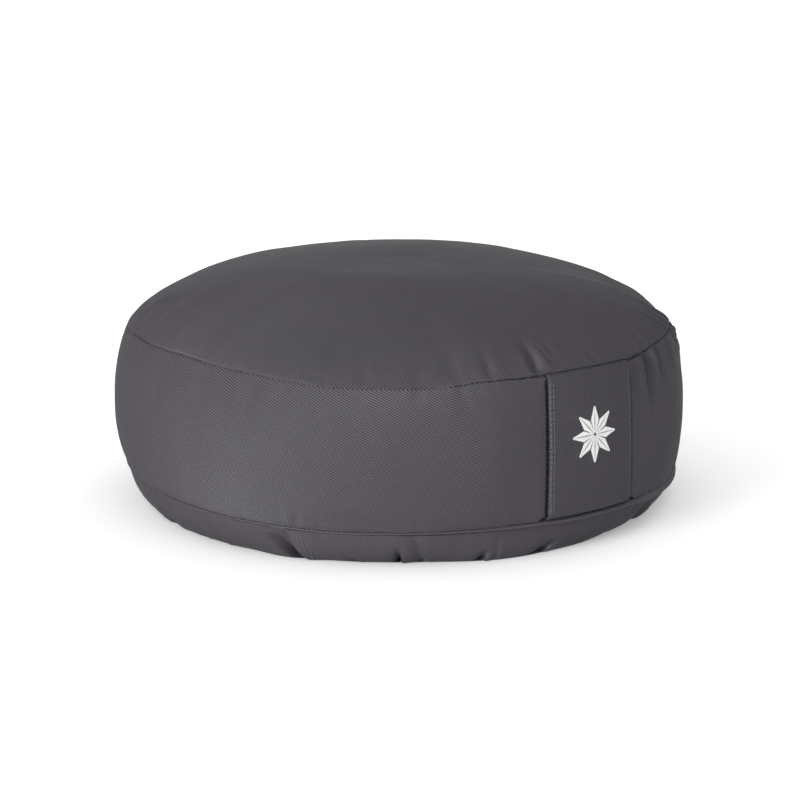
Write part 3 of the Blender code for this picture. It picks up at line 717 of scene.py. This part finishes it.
class Cover:
    """The cover's columns round the cushion, and its three panels at every column."""

    def __init__(self, azimuths):
        self.azimuths = azimuths
        self.seam = around(SEAMS, azimuths)
        self.welt = around(WELT_STATIONS, azimuths)
        self.relief = around(BAND_GRAIN, azimuths).relief
        self.behind = under_strap(azimuths, BEHIND_SPARE, BEHIND_FADE)
        ring = around(STATIONS, azimuths)
        rise = 0.0
        for kink in KINKS:
            aside = turn(azimuths - kink.azimuth) / kink.width
            rise = rise + kink.rise * aside * bell(aside, 1.0)
        self.ring = ring._replace(top_height=ring.top_height + rise)
        self.shut = 1.0 - ease(self.seam.open / SEAM_SHUT)
        self.gape = np.maximum(np.maximum(self.seam.open, SHUT_LINE * self.shut), TOP_LIP * self.behind)

    def flush(self):
        """How full the top seam's crevice is: 1 where the seam is shut, and never behind the strap."""
        return self.shut * (1.0 - self.behind)

    def crown_section(self, share):
        """From the crown's middle to its edge just above the top seam."""
        ring = self.ring
        spread = np.sin(share * pi / 2.0) * CROWN_SPREAD
        roll = CROWN_ROLL + (SHUT_ROLL - CROWN_ROLL) * self.shut
        height = ring.top_height + (CROWN_HEIGHT - ring.top_height) * (1.0 - spread**CROWN_FALL) ** roll
        lean = CROWN_LEAN * spread * (1.0 - spread**2) / LEAN_PEAK
        radius = (ring.top_radius + SHUT_SPREAD * self.shut) * spread
        return radius, height + lean * np.cos(np.radians(self.azimuths - LEAN_AZIMUTH))

    def band_section(self, share):
        """From the lip under the top seam to the lip over the base seam."""
        ring = self.ring
        top = ring.top_height - self.gape
        lift = self.welt.thick / 2.0 + self.welt.gap
        base = ring.base_height + lift + (BAND_LIP + STRAP_ROOM - lift) * self.behind
        height = top + (base - top) * share
        return full_band(ring, height) - flattening(self.azimuths, height, ring), height

    def skirt_section(self, share):
        """From the lip under the welt to the edge of the flat underside."""
        ring = self.ring
        top = ring.base_height - self.welt.thick / 2.0 - WELT_UNDER
        hang = np.radians(self.welt.hang)
        lip = ring.base_radius - (WELT_INSET + WELT_THICKNESS / 2.0 * np.sin(hang) + CLEARANCE + WELT_SPARE)
        angle = share * pi / 2.0
        cone = (1.0 - SKIRT_ROUND) * (1.0 - share)
        radius = ring.foot_radius + (lip - ring.foot_radius) * (SKIRT_ROUND * np.cos(angle) + cone)
        return radius, top * (SKIRT_ROUND * (1.0 - np.sin(angle)) + cone)

    def drawn_in(self, radius, height, distance):
        """How far the filling's lumps and the sewing draw the cloth in, a little unevenly."""
        points = placed(radius, self.azimuths, height)
        beside = placed(BELLY_RADIUS, self.azimuths, distance * SEWN_STRETCH)
        return bell(distance, SEWN_REACH) * uneven(beside, SEWN) + sum(uneven(points, lump) for lump in LUMPS)

    def grooves(self, below):
        """How far the strap's two edges press into the band beside them."""
        depth = 0.0
        for groove in GROOVES:
            middle = degrees(groove.across / STRAP_ARC_RADIUS) + STRAP_ASIDE + STRAP_SKEW * below / below[-1]
            across = np.radians(turn(self.azimuths) - middle) * BELLY_RADIUS
            depth = depth + groove.depth * bell(across, groove.width)
        return depth * ease(below / GROOVE_FADE)

    def panel(self, radius, height, weave, sewing, relief, slide=0.0):
        """A panel's points and maps, in millimetres, so that a share such as the relief is divided by MM."""
        along = np.broadcast_to(np.radians(self.azimuths) * BELLY_RADIUS, sewing.shape)
        relief = np.broadcast_to(relief / MM, sewing.shape)
        points = placed(radius, self.azimuths + slide, height)
        return Panel(points, weave, np.stack([along, sewing], axis=-1), np.stack([relief, relief], axis=-1))

    def crown(self):
        """The top panel, from its middle into the top seam."""
        ring = self.ring
        radius, height, _ = rows_of(self.crown_section, CROWN_ROWS)
        open_rows = len(radius)
        room = self.gape / 2.0 + (TOP_ROOM_UNDER_STRAP - self.gape / 2.0) * self.behind
        tuck = tucked(CROWN_TUCK, ring.top_radius, ring.top_height - self.gape / 2.0, room, self.flush())
        radius, height = np.vstack([radius, tuck[0]]), np.vstack([height, tuck[1]])
        run = arc_run(radius, height)
        distance = np.maximum(run[open_rows - 1] - run, 0.0)
        inwards = crease_depth(CROWN_CREASES, self.azimuths, distance, radius)
        inwards = (inwards + self.drawn_in(radius, height, distance)) * ease(run / CROWN_CALM)
        inwards[open_rows:] *= np.linspace(TUCK_EASE, 0.0, len(CROWN_TUCK))[:, None]
        flat = placed(run, self.azimuths, 0.0)
        weave = turned(flat[..., 0], flat[..., 1], CROWN_RIBS) / CROWN_STRETCH
        sewing = distance + SEWING_AWAY * (1.0 - self.seam.sewing)
        relief = MIDDLE_RELIEF + (self.relief - MIDDLE_RELIEF) * ease((run - MIDDLE_START) / MIDDLE_REACH)
        return self.panel(*pushed(radius, height, inwards), weave, sewing, relief)

    def band(self):
        """The side panel, from inside the top seam down into the base seam."""
        ring = self.ring
        radius, height, _ = rows_of(self.band_section, BAND_ROWS)
        open_rows = len(radius)
        middle = ring.top_height - self.gape / 2.0
        top = tucked(BAND_TOP_TUCK, ring.top_radius, middle, self.gape / 2.0, self.flush())
        lift = ring.base_height + STRAP_ROOM * self.behind
        foot = tucked(BAND_BASE_TUCK, ring.base_radius, lift, self.welt.thick / 2.0 + BASE_SPARE)
        radius, height = np.vstack([top[0], radius, foot[0]]), np.vstack([top[1], height, foot[1]])
        run = arc_run(radius, height)
        first, last = len(top[0]), len(top[0]) + open_rows - 1
        below, above = np.maximum(run - run[first], 0.0), np.maximum(run[last] - run, 0.0)
        inwards = crease_depth(BAND_CREASES, self.azimuths, below, radius)
        inwards += crease_depth(HAUNCH_CREASES, self.azimuths, above, radius)
        inwards += self.drawn_in(radius, height, np.minimum(below, above))
        inwards -= self.seam.lip * bell(below - LIP_DOWN, LIP_WIDTH) * (1.0 - self.behind)
        inwards *= 1.0 - STRAP_CALM * under_strap(self.azimuths, HELD_SPARE, HELD_FADE)
        inwards += self.grooves(below)
        inwards[:first] *= np.linspace(0.0, TUCK_EASE, first)[:, None]
        inwards[last + 1:] *= np.linspace(TUCK_EASE, 0.0, len(BAND_BASE_TUCK))[:, None]
        along = np.radians(self.azimuths) * BELLY_RADIUS
        slopes = np.tan(np.radians(around(BAND_GRAIN, self.azimuths).ribs - BAND_GRAIN[0].ribs))
        bow = np.concatenate([[0.0], np.cumsum(slopes[1:] * np.diff(along))])
        weave = turned(along, -run - bow, BAND_GRAIN[0].ribs)
        sewing = np.minimum(below + SEWING_AWAY * (1.0 - self.seam.sewing), above + SEWING_AWAY)
        return self.panel(*pushed(radius, height, inwards), weave, sewing, self.relief)

    def base(self):
        """The gathered base, from inside the base seam to the middle of the flat underside."""
        ring = self.ring
        radius, height, share = rows_of(self.skirt_section, SKIRT_ROWS)
        depth, slide = gathered(self.azimuths, share, radius)
        distance = arc_run(radius, height)
        depth += self.drawn_in(radius, height, distance) * ease(2.0 - 2.0 * share)
        lift = FOOT_LIFT * np.maximum(depth[-1], 0.0)
        radius, height = radius - depth, height + lift * share**4
        inner = radius[-1] * (1.0 - graded(1.0, UNDER_ROWS)[1:, None])
        under = lift * bell(radius[-1] - inner, FOOT_LIFT_REACH)
        tuck = tucked(BASE_TUCK, ring.base_radius, ring.base_height, self.welt.thick / 2.0 + BASE_SPARE)
        still = np.zeros((len(BASE_TUCK), len(self.azimuths)))
        calm = np.exp(-np.abs(depth) / GATHER_CALM)
        calm = np.vstack([still + 1.0, calm, np.zeros_like(inner) + calm[-1]])
        slide = np.vstack([still, slide, np.zeros_like(inner)])
        radius, height = np.vstack([tuck[0], radius, inner]), np.vstack([tuck[1], height, under])
        run = arc_run(radius, height)
        flat = placed(run[-1].mean() - run * run[-1].mean() / run[-1], self.azimuths, 0.0)
        weave = turned(flat[..., 0], flat[..., 1], BASE_RIBS)
        relief = self.relief**2 * BASE_RELIEF * calm
        return self.panel(radius, height, weave, np.full_like(run, SEWING_AWAY), relief, slide)


def drawn_columns(count):
    """Azimuths from 0 to 360 of the columns, closer together at the creases, the gathers and the grooves."""
    places = np.linspace(0.0, 360.0, COLUMN_STEPS)
    density = np.ones_like(places)
    for fold in (*CROWN_CREASES, *BAND_CREASES, *GATHERS):
        draw = COLUMN_DRAW * min(abs(fold.depth) / COLUMN_DEPTH, 1.0)
        density += draw * bell(turn(places - fold.azimuth), COLUMN_REACH)
    for groove in GROOVES:
        beside = turn(places - degrees(groove.across / STRAP_ARC_RADIUS) - STRAP_ASIDE - STRAP_SKEW / 2.0)
        density += GROOVE_DRAW * bell(beside, GROOVE_REACH)
    run = np.concatenate([[0.0], np.cumsum((density[1:] + density[:-1]) / 2.0)])
    return np.interp(np.linspace(0.0, run[-1], count + 1), run, places)


def read(values, name):
    """One whole number of each corner or face."""
    found = np.empty(len(values), int)
    values.foreach_get(name, found)
    return found


def lay(mesh, name, flat, ends):
    """Lays a map of the cloth, in metres, on a mesh in rows and columns. ends are the panels' last rows."""
    corners = read(mesh.loops, "vertex_index")
    row, column = np.divmod(corners, flat.shape[1])
    upper = np.minimum.reduceat(row, read(mesh.polygons, "loop_start"))
    end = np.array(ends)[np.searchsorted(ends, np.repeat(upper, read(mesh.polygons, "loop_total")))]
    layer = mesh.uv_layers.new(name=name)
    layer.data.foreach_set("uv", (flat[np.minimum(row, end), column] * MM).astype(np.float32).ravel())


def drawn(name, points, maps, ends, material, node=None):
    """Makes a piece of rows of points, whose last column lies on the first and closes it."""
    rows, columns = points.shape[:2]
    mesh = bpy.data.meshes.new(name)
    bm = bmesh.new()
    bmesh.ops.create_grid(bm, x_segments=columns - 1, y_segments=rows - 1, size=1.0)
    bm.to_mesh(mesh)
    bm.clear()
    mesh.vertices.foreach_set("co", (points * MM).astype(np.float32).ravel())
    for title, flat in maps.items():
        lay(mesh, title, flat, ends)
    bm.from_mesh(mesh)
    bmesh.ops.remove_doubles(bm, verts=bm.verts, dist=MERGE)
    open_edges = [edge for edge in bm.edges if edge.is_boundary]
    bmesh.ops.triangulate(bm, faces=bmesh.ops.holes_fill(bm, edges=open_edges, sides=0)["faces"])
    bmesh.ops.recalc_face_normals(bm, faces=bm.faces)
    bm.to_mesh(mesh)
    bm.free()
    return shown(name, mesh, material, node)


def shown(name, mesh, material, node=None):
    """A piece in the scene, which rides with the cushion."""
    mesh.update()
    mesh.shade_smooth()
    mesh.materials.append(material)
    piece = bpy.data.objects.new(name, mesh)
    bpy.context.scene.collection.objects.link(piece)
    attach(piece, "root")
    if node:
        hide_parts(node)
    return piece


def make_cushion(material):
    cover = Cover(drawn_columns(COLUMNS))
    panels = (cover.crown(), cover.band(), cover.base())
    points, weave, sewing, relief = (np.concatenate(parts) for parts in zip(*panels))
    ends = np.cumsum([len(panel.points) for panel in panels]) - 1
    maps = {"weave": weave, "sewing": sewing, "relief": relief}
    piece = drawn("cover", points, maps, ends, material, "cushion")


def make_welt(material):
    """A closed section swept round the base seam: sewn root, upper face, rounded edge and under face."""
    azimuths = np.linspace(0.0, 360.0, WELT_COLUMNS + 1)
    ring = around(STATIONS, azimuths)
    welt = around(WELT_STATIONS, azimuths)
    hang = np.radians(welt.hang)
    out, down = np.cos(hang), np.sin(hang)
    half = welt.thick / 2.0
    reach = welt.reach + uneven(placed(BELLY_RADIUS, azimuths, 0.0), WELT_WANDER)
    mouth, seam = ring.base_radius - WELT_INSET, ring.base_height
    tip = mouth + reach * out
    drop = seam - reach * down
    rows = [(ring.base_radius - WELT_ROOT, seam - half), (ring.base_radius - WELT_ROOT, seam + half)]
    rows += [(mouth - WELT_UPPER_STEP, seam + half), (mouth, seam + half)]
    for angle in np.linspace(0.0, pi, WELT_EDGE_STEPS + 1):
        side, forth = cos(angle) * half, sin(angle) * half * WELT_EDGE
        rows.append((tip + side * down + forth * out, drop + side * out - forth * down))
    rows += [(mouth - half * down - WELT_LOWER_SPARE, seam - half), (mouth - WELT_LOWER_STEP, seam - half)]
    rows.append(rows[0])
    radius, height = (np.stack(np.broadcast_arrays(*values)) for values in zip(*rows))
    points = placed(radius, azimuths, height)
    weave = turned(np.radians(azimuths) * BELLY_RADIUS, arc_run(radius, height), WELT_RIBS)
    drawn("welt_strip", points, {"weave": weave}, [len(rows) - 1], material, "base_welt")


class Strap:
    """The strap's cloth: where a point of it lies, by how far across and how far along it is."""

    def __init__(self):
        half = STRAP_WIDTH / 2.0
        hem, edge = HEM_WIDTH + HEM_FINE - half, half - EDGE_FINE
        steps = (
            np.linspace(-half, hem, HEM_COLUMNS),
            np.linspace(hem, edge, MIDDLE_COLUMNS)[1:],
            np.linspace(edge, half, EDGE_COLUMNS)[1:],
        )
        self.across = np.concatenate(steps)
        self.outer = self.face(1)

    def thickness(self, across):
        """Half the cloth's thickness: rolled edges, a hem on one side, and dips along the stitch rows."""
        half = STRAP_WIDTH / 2.0
        edge = np.clip(np.minimum(across + half, half - across) / EDGE_ROLL, 0.0, 1.0)
        hem = ease((-half + HEM_WIDTH - across) / HEM_STEP)
        thick = STRAP_THICKNESS / 2.0 + (HEM_THICKNESS - STRAP_THICKNESS) / 2.0 * hem
        for line in (*HEM_ROWS, EDGE_ROW):
            thick = thick - STITCH_DIP * bell(across - line, STITCH_DIP_WIDTH)
        return thick * (EDGE_LEFT + (1.0 - EDGE_LEFT) * np.sqrt(1.0 - (1.0 - edge) ** 2))

    def path(self, azimuths):
        """The middle of the cloth, row by row, from inside the top seam down into the base seam."""
        ring = around(STATIONS, azimuths)
        top, base = ring.top_height, ring.base_height
        high, low = top - STRAP_BEND, base + STRAP_END
        radius = [ring.top_radius + bend.out for bend in STRAP_TOP]
        height = [top + bend.up for bend in STRAP_TOP]
        for share in np.linspace(0.0, 1.0, STRAP_ROWS + 1):
            level = high + (low - high) * share
            radius.append(strap_face(ring, level) + STRAP_THICKNESS / 2.0)
            height.append(level)
        radius += [ring.base_radius + bend.out for bend in STRAP_FOOT]
        height += [base + bend.up for bend in STRAP_FOOT]
        return np.stack(radius), np.stack(height)

    def face(self, side):
        """Points of the strap's outer face, or of its inner one where side is -1, row by row."""
        azimuths = np.degrees(self.across / STRAP_ARC_RADIUS)
        radius, height = self.path(azimuths)
        run = arc_run(radius, height)
        caught = ease(run / STRAP_CAUGHT) * ease((run[-1] - run) / STRAP_CAUGHT)
        wave = uneven(placed(radius, azimuths, height), STRAP_WAVE) * caught
        thick = self.thickness(self.across) * (THIN_AT_SEAM + (1.0 - THIN_AT_SEAM) * ease(run / STRAP_CAUGHT))
        radius, height = pushed(radius, height, -(side * thick + wave))
        return placed(radius, azimuths + STRAP_ASIDE + STRAP_SKEW * run / run[-1], height)

    def at(self, across, height, out):
        """The point so far out of the outer face, and the way out of the cloth there."""
        column = int(np.clip(np.searchsorted(self.across, across), 1, len(self.across) - 2))
        levels = self.outer[:, column, 2]
        row = int(np.clip(np.searchsorted(-levels, -height), 1, len(levels) - 2))
        side = (across - self.across[column - 1]) / (self.across[column] - self.across[column - 1])
        rise = (height - levels[row]) / (levels[row - 1] - levels[row])
        corner = Vector(self.outer[row, column - 1])
        sideways = Vector(self.outer[row, column]) - corner
        upwards = Vector(self.outer[row - 1, column - 1]) - corner
        outwards = sideways.cross(upwards).normalized()
        return corner + sideways * side + upwards * rise + outwards * out, outwards


def make_strap(strap, material):
    """A closed ring of section points, from the inner face's middle round both edges, drawn out in rows."""
    half = len(strap.across) // 2
    inner = strap.face(-1)[:, ::-1]
    ring = np.concatenate([inner[:, half:], strap.outer, inner[:, :half + 1]], axis=1)
    along, across = measured(strap.outer[:, half]), measured(ring[MEASURED_ROW])
    weave = turned(across[None, :], -along[:, None], STRAP_RIBS)
    return drawn("strap", ring, {"weave": weave}, [len(ring) - 1], material, "handle")


def sewn(name, threads, width, thick, material):
    """A piece of short threads with round ends. Each has a start, an end and the way out of the cloth."""
    bm = bmesh.new()
    spare = bpy.data.meshes.new("thread")
    for start, end, outwards in threads:
        along = end - start
        outwards = (outwards - along * outwards.dot(along) / along.length_squared).normalized()
        aside = along.normalized().cross(outwards)
        shape = Matrix((aside * width / 2.0, outwards * thick / 2.0, along / 2.0)).transposed().to_4x4()
        place = Matrix.Scale(MM, 4) @ Matrix.Translation((start + end) / 2.0) @ shape
        one = bmesh.new()
        bmesh.ops.create_uvsphere(
            one,
            u_segments=THREAD_SIDES,
            v_segments=THREAD_RINGS,
            radius=1.0,
            matrix=place,
        )
        bmesh.ops.recalc_face_normals(one, faces=one.faces)
        one.to_mesh(spare)
        one.free()
        bm.from_mesh(spare)
    bpy.data.meshes.remove(spare)
    mesh = bpy.data.meshes.new(name)
    bm.to_mesh(mesh)
    bm.free()
    return shown(name, mesh, material)


def make_stitches(strap, material):
    """The two rows along the hem and the single row beside the other edge."""
    chance = random.Random(STITCH_SEED)
    threads = []
    for line in (*HEM_ROWS, EDGE_ROW):
        height = STITCH_FOOT
        while height < STITCH_TOP:
            across = line + chance.uniform(-STITCH_STRAY, STITCH_STRAY)
            length = STITCH_LENGTH * chance.uniform(*STITCH_SPREAD)
            start, outwards = strap.at(across, height, STITCH_OUT)
            aside = chance.uniform(-STITCH_TILT, STITCH_TILT)
            end, _ = strap.at(across + aside, height + length, STITCH_OUT)
            threads.append((start, end, outwards))
            height += STITCH_PITCH
    return sewn("strap_stitching", threads, STITCH_WIDTH, STITCH_THICK, material)


def star_threads():
    """Each thread of an eight-pointed star: two halves to a point, stitched out from the point's axis."""
    chance = random.Random(STAR_SEED)
    waist = STAR_RADIUS * STAR_WAIST
    slope = STAR_HALF_WIDTH / waist
    fall = STAR_HALF_WIDTH / (STAR_RADIUS - waist)
    forward, aside = cos(radians(STAR_SLANT)), sin(radians(STAR_SLANT))
    for point in range(STAR_POINTS):
        axis = radians(90.0 + 360.0 / STAR_POINTS * point)
        for side in (-1, 1):
            place = STAR_HEART
            while place < STAR_RADIUS - STAR_TIP:
                rising = slope * place / (aside - slope * forward)
                falling = fall * (STAR_RADIUS - place) / (aside + fall * forward)
                length = min(rising, falling) * chance.uniform(*STAR_SPREAD)
                ends = []
                for reach in (-STAR_OVERLAP, length):
                    x, y = place + forward * reach, side * (aside * reach + STAR_VEIN)
                    ends.append((x * cos(axis) - y * sin(axis), x * sin(axis) + y * cos(axis)))
                if length > STAR_SHORTEST:
                    yield ends
                place += STAR_PITCH


def make_star(strap, material):
    threads = []
    for ends in star_threads():
        (start, outwards), (end, _) = (strap.at(x, STAR_HEIGHT + y, STAR_OUT) for x, y in ends)
        threads.append((start, end, outwards))
    return sewn("star_embroidery", threads, STAR_THREAD, STAR_THICK, material)


# Sockets of a Mix node for colours, by number, because others on it have the same names.
MIX_SHARE = 0
MIX_FIRST = 6
MIX_SECOND = 7
MIX_COLOUR = 2


class Value:
    """A node's socket, so that a material's maths reads as plain expressions."""

    def __init__(self, nodes, socket):
        self.nodes = nodes
        self.socket = socket

    def maths(self, operation, *inputs):
        return self.nodes.node("ShaderNodeMath", {"operation": operation}, dict(enumerate(inputs)))

    def __add__(self, other):
        return self.maths("ADD", self, other)

    def __radd__(self, other):
        return self.maths("ADD", other, self)

    def __sub__(self, other):
        return self.maths("SUBTRACT", self, other)

    def __rsub__(self, other):
        return self.maths("SUBTRACT", other, self)

    def __mul__(self, other):
        return self.maths("MULTIPLY", self, other)

    def __rmul__(self, other):
        return self.maths("MULTIPLY", other, self)

    def __truediv__(self, other):
        return self.maths("DIVIDE", self, other)

    def __rtruediv__(self, other):
        return self.maths("DIVIDE", other, self)

    def floor(self):
        return self.maths("FLOOR", self)

    def ripple(self):
        """1 at every whole number and 0 midway between them, as smooth waves."""
        return self.maths("COSINE", self * (2.0 * pi)) * 0.5 + 0.5

    def clamped(self, low, high):
        """0 below low and 1 above high, smooth between."""
        settings = {"interpolation_type": "SMOOTHSTEP"}
        inputs = {"Value": self, "From Min": low, "From Max": high}
        return self.nodes.node("ShaderNodeMapRange", settings, inputs)


class Nodes:
    """A node tree, and the nodes that are added to it."""

    def __init__(self, tree):
        self.tree = tree

    def feed(self, socket, value):
        if isinstance(value, Value):
            self.tree.links.new(value.socket, socket)
        else:
            socket.default_value = value

    def node(self, kind, settings=(), inputs=(), output=0):
        """One output of a new node. Its settings come first, then the values or links of its sockets."""
        node = self.tree.nodes.new(kind)
        for name, setting in dict(settings).items():
            setattr(node, name, setting)
        for name, value in dict(inputs).items():
            self.feed(node.inputs[name], value)
        return Value(self, node.outputs[output])

    def noise(self, vector, scale, detail=2.0):
        """Smooth noise about 0, from about -0.5 to 0.5."""
        inputs = {"Vector": vector, "Scale": scale, "Detail": detail}
        return self.node("ShaderNodeTexNoise", {}, inputs) - 0.5

    def mixed(self, share, first, second):
        """A colour between two."""
        inputs = {MIX_SHARE: share, MIX_FIRST: first, MIX_SECOND: second}
        return self.node("ShaderNodeMix", {"data_type": "RGBA"}, inputs, MIX_COLOUR)

    def along_across(self, name):
        """A map of the cloth, and its two coordinates."""
        cloth = self.node("ShaderNodeUVMap", {"uv_map": name})
        along, across = (self.node("ShaderNodeSeparateXYZ", {}, {"Vector": cloth}, axis) for axis in "XY")
        return cloth, along, across


class Finish(Nodes):
    """A material. Its shader's sockets are named with _ for a space."""

    def __init__(self, name, **sockets):
        self.material = bpy.data.materials.new(name)
        self.material.use_nodes = True
        super().__init__(self.material.node_tree)
        self.shade(**sockets)

    def shade(self, **sockets):
        shader = self.tree.nodes["Principled BSDF"]
        for name, value in sockets.items():
            self.feed(shader.inputs[name.replace("_", " ")], value)


def shade_of(colour, share):
    """A darker or paler shade of a colour, with its alpha."""
    return (*(min(channel * share, 1.0) for channel in colour), 1.0)


def twill(name, colour, relief=None, rib_height=RIB_HEIGHT):
    """Cotton twill: slanting ribs of twisted yarn, painted paler on their crests as a highlight and darker
    between them as shade, with dust-fine nap over them.

    A piece without a relief of its own has maps for it and for the sewing beside its seams, where stitches
    sink the cloth and painted shade darkens it.
    """
    finish = Finish(name, Roughness=0.5, Sheen_Weight=0.11, Sheen_Roughness=0.25, Specular_IOR_Level=0.85)
    place = finish.node("ShaderNodeTexCoord", output="Object")
    cloth, along, across = finish.along_across("weave")
    for wander in RIB_WANDER:
        across = across + finish.noise(place, wander.scale) * wander.amount
    ribs = across / (RIB_PITCH * MM)
    crest = ribs.ripple()
    twist = (along / (THREAD_PITCH * MM) + ribs.floor() * 0.5).ripple()
    slub = finish.noise(cloth, SLUB_SCALE, YARN_DETAIL)
    mapped = relief is None
    if mapped:
        _, relief, _ = finish.along_across("relief")
    height = (crest * CREST.height + twist * crest * TWIST.height + slub * SLUB.height) * relief
    # painted highlight on the crests and painted shade between them, as strong as the relief
    weave = (crest - 0.5) * CREST.tone + (twist - 0.5) * TWIST.tone
    # painted paler where the relief is high, making up for the shade of the steep bump
    tone = PLAIN_TONE + relief * RELIEF_TONE + weave * relief + slub * SLUB.tone
    for patch in PATCHES:
        tone = tone + finish.noise(place, patch.scale) * patch.amount
    if mapped:
        _, beside, away = finish.along_across("sewing")
        stitch = (beside / (STITCH_PITCH * MM)).ripple()
        near = 1.0 - away.clamped(SEAM_NEAR, SEAM_FAR)
        # the stitches sink the cloth, and painted shade darkens it along the seam and in the stitches' dips
        height = height - near * stitch * STITCH_SINK
        tone = tone - near * (SEAM_PAINTED_SHADE + stitch * STITCH_PAINTED_SHADE)
    share = (tone - DARKEST) / (PALEST - DARKEST)
    finish.shade(Base_Color=finish.mixed(share, shade_of(colour, DARKEST), shade_of(colour, PALEST)))
    bump = {"Height": height, "Distance": rib_height, "Strength": 1.0}
    finish.shade(Normal=finish.node("ShaderNodeBump", {}, bump))
    return finish.material


def thread(name, colour):
    """Twisted sewing or embroidery thread."""
    finish = Finish(name, Roughness=0.6, Sheen_Weight=0.3, Specular_IOR_Level=0.4)
    place = finish.node("ShaderNodeTexCoord", output="Object")
    fibre = finish.noise(place, FIBRE_SCALE, YARN_DETAIL)
    dark, pale = shade_of(colour, THREAD_DARKEST), shade_of(colour, THREAD_PALEST)
    finish.shade(Base_Color=finish.mixed(0.5 + fibre * 0.5, dark, pale))
    finish.shade(Normal=finish.node("ShaderNodeBump", {}, {"Height": fibre, "Distance": FIBRE_HEIGHT}))
    return finish.material


def set_back(thing, azimuth, elevation, distance):
    """Sets a camera or a lamp so far from the cushion, and turns it towards it."""
    flat = cos(radians(elevation))
    back = Vector((sin(radians(azimuth)) * flat, -cos(radians(azimuth)) * flat, sin(radians(elevation))))
    thing.location = Vector((0.0, 0.0, CAMERA_AIM)) + back * distance
    thing.rotation_euler = (-back).to_track_quat("-Z", "Y").to_euler()
    bpy.context.scene.collection.objects.link(thing)


def add_camera():
    camera = bpy.data.objects.new("camera", bpy.data.cameras.new("camera"))
    camera.data.sensor_width = CAMERA_SENSOR
    camera.data.lens = CAMERA_LENS
    camera.data.shift_x, camera.data.shift_y = CAMERA_SHIFT
    set_back(camera, CAMERA_AZIMUTH, CAMERA_ELEVATION, CAMERA_DISTANCE)
    bpy.context.scene.camera = camera


def add_softbox(box):
    """A wide soft light that faces the cushion."""
    light = bpy.data.lights.new(box.name, "AREA")
    light.shape = "RECTANGLE"
    light.size = box.width
    light.size_y = box.height
    light.energy = box.power
    lamp = bpy.data.objects.new(box.name, light)
    lamp.visible_glossy = box.shines
    set_back(lamp, box.azimuth, box.elevation, box.distance)


def add_floor():
    bm = bmesh.new()
    bmesh.ops.create_grid(bm, x_segments=1, y_segments=1, size=FLOOR_SIZE / 2.0)
    mesh = bpy.data.meshes.new("floor")
    bm.to_mesh(mesh)
    bm.free()
    paper = Finish(
        "floor_paper",
        Base_Color=(*FLOOR_COLOUR, 1.0),
        Roughness=0.95,
        Emission_Color=(1.0, 1.0, 1.0, 1.0),
        Emission_Strength=FLOOR_GLOW,
    )
    mesh.materials.append(paper.material)
    floor = bpy.data.objects.new("floor", mesh)
    bpy.context.scene.collection.objects.link(floor)
    floor.visible_glossy = False


def add_light():
    """A pale sky that shines less on the cloth than it lights it, and the softboxes."""
    world = bpy.data.worlds.new("studio")
    bpy.context.scene.world = world
    world.use_nodes = True
    studio = Nodes(world.node_tree)
    sky = studio.tree.nodes["Background"]
    glossy = studio.node("ShaderNodeLightPath", output="Is Glossy Ray")
    studio.feed(sky.inputs["Color"], (*SKY_COLOUR, 1.0))
    studio.feed(sky.inputs["Strength"], SKY_STRENGTH - glossy * (SKY_STRENGTH * (1.0 - SKY_GLOSS)))
    for box in SOFTBOXES:
        add_softbox(box)
    bpy.context.scene.view_settings.view_transform = "Standard"


def main():
    add_camera()
    add_light()
    add_floor()
    strap = Strap()
    make_cushion(twill("cover_twill", COVER_COLOUR))
    # the welt is painted paler than the cover, as a highlight on its ridge
    make_welt(twill("welt_twill", WELT_PAINTED_LIT_COLOUR, WELT_RELIEF, WELT_RIB_HEIGHT))
    handle = make_strap(strap, twill("strap_twill", STRAP_COLOUR, STRAP_RELIEF))
    stitches = make_stitches(strap, thread("strap_thread", STITCH_COLOUR))
    star = make_star(strap, thread("star_thread", STAR_COLOUR))
    front = next(station for station in STATIONS if station.azimuth == STRAP_STATION)
    length = (front.top_height - front.base_height) * MM + STRAP_BENDS * MM


main()
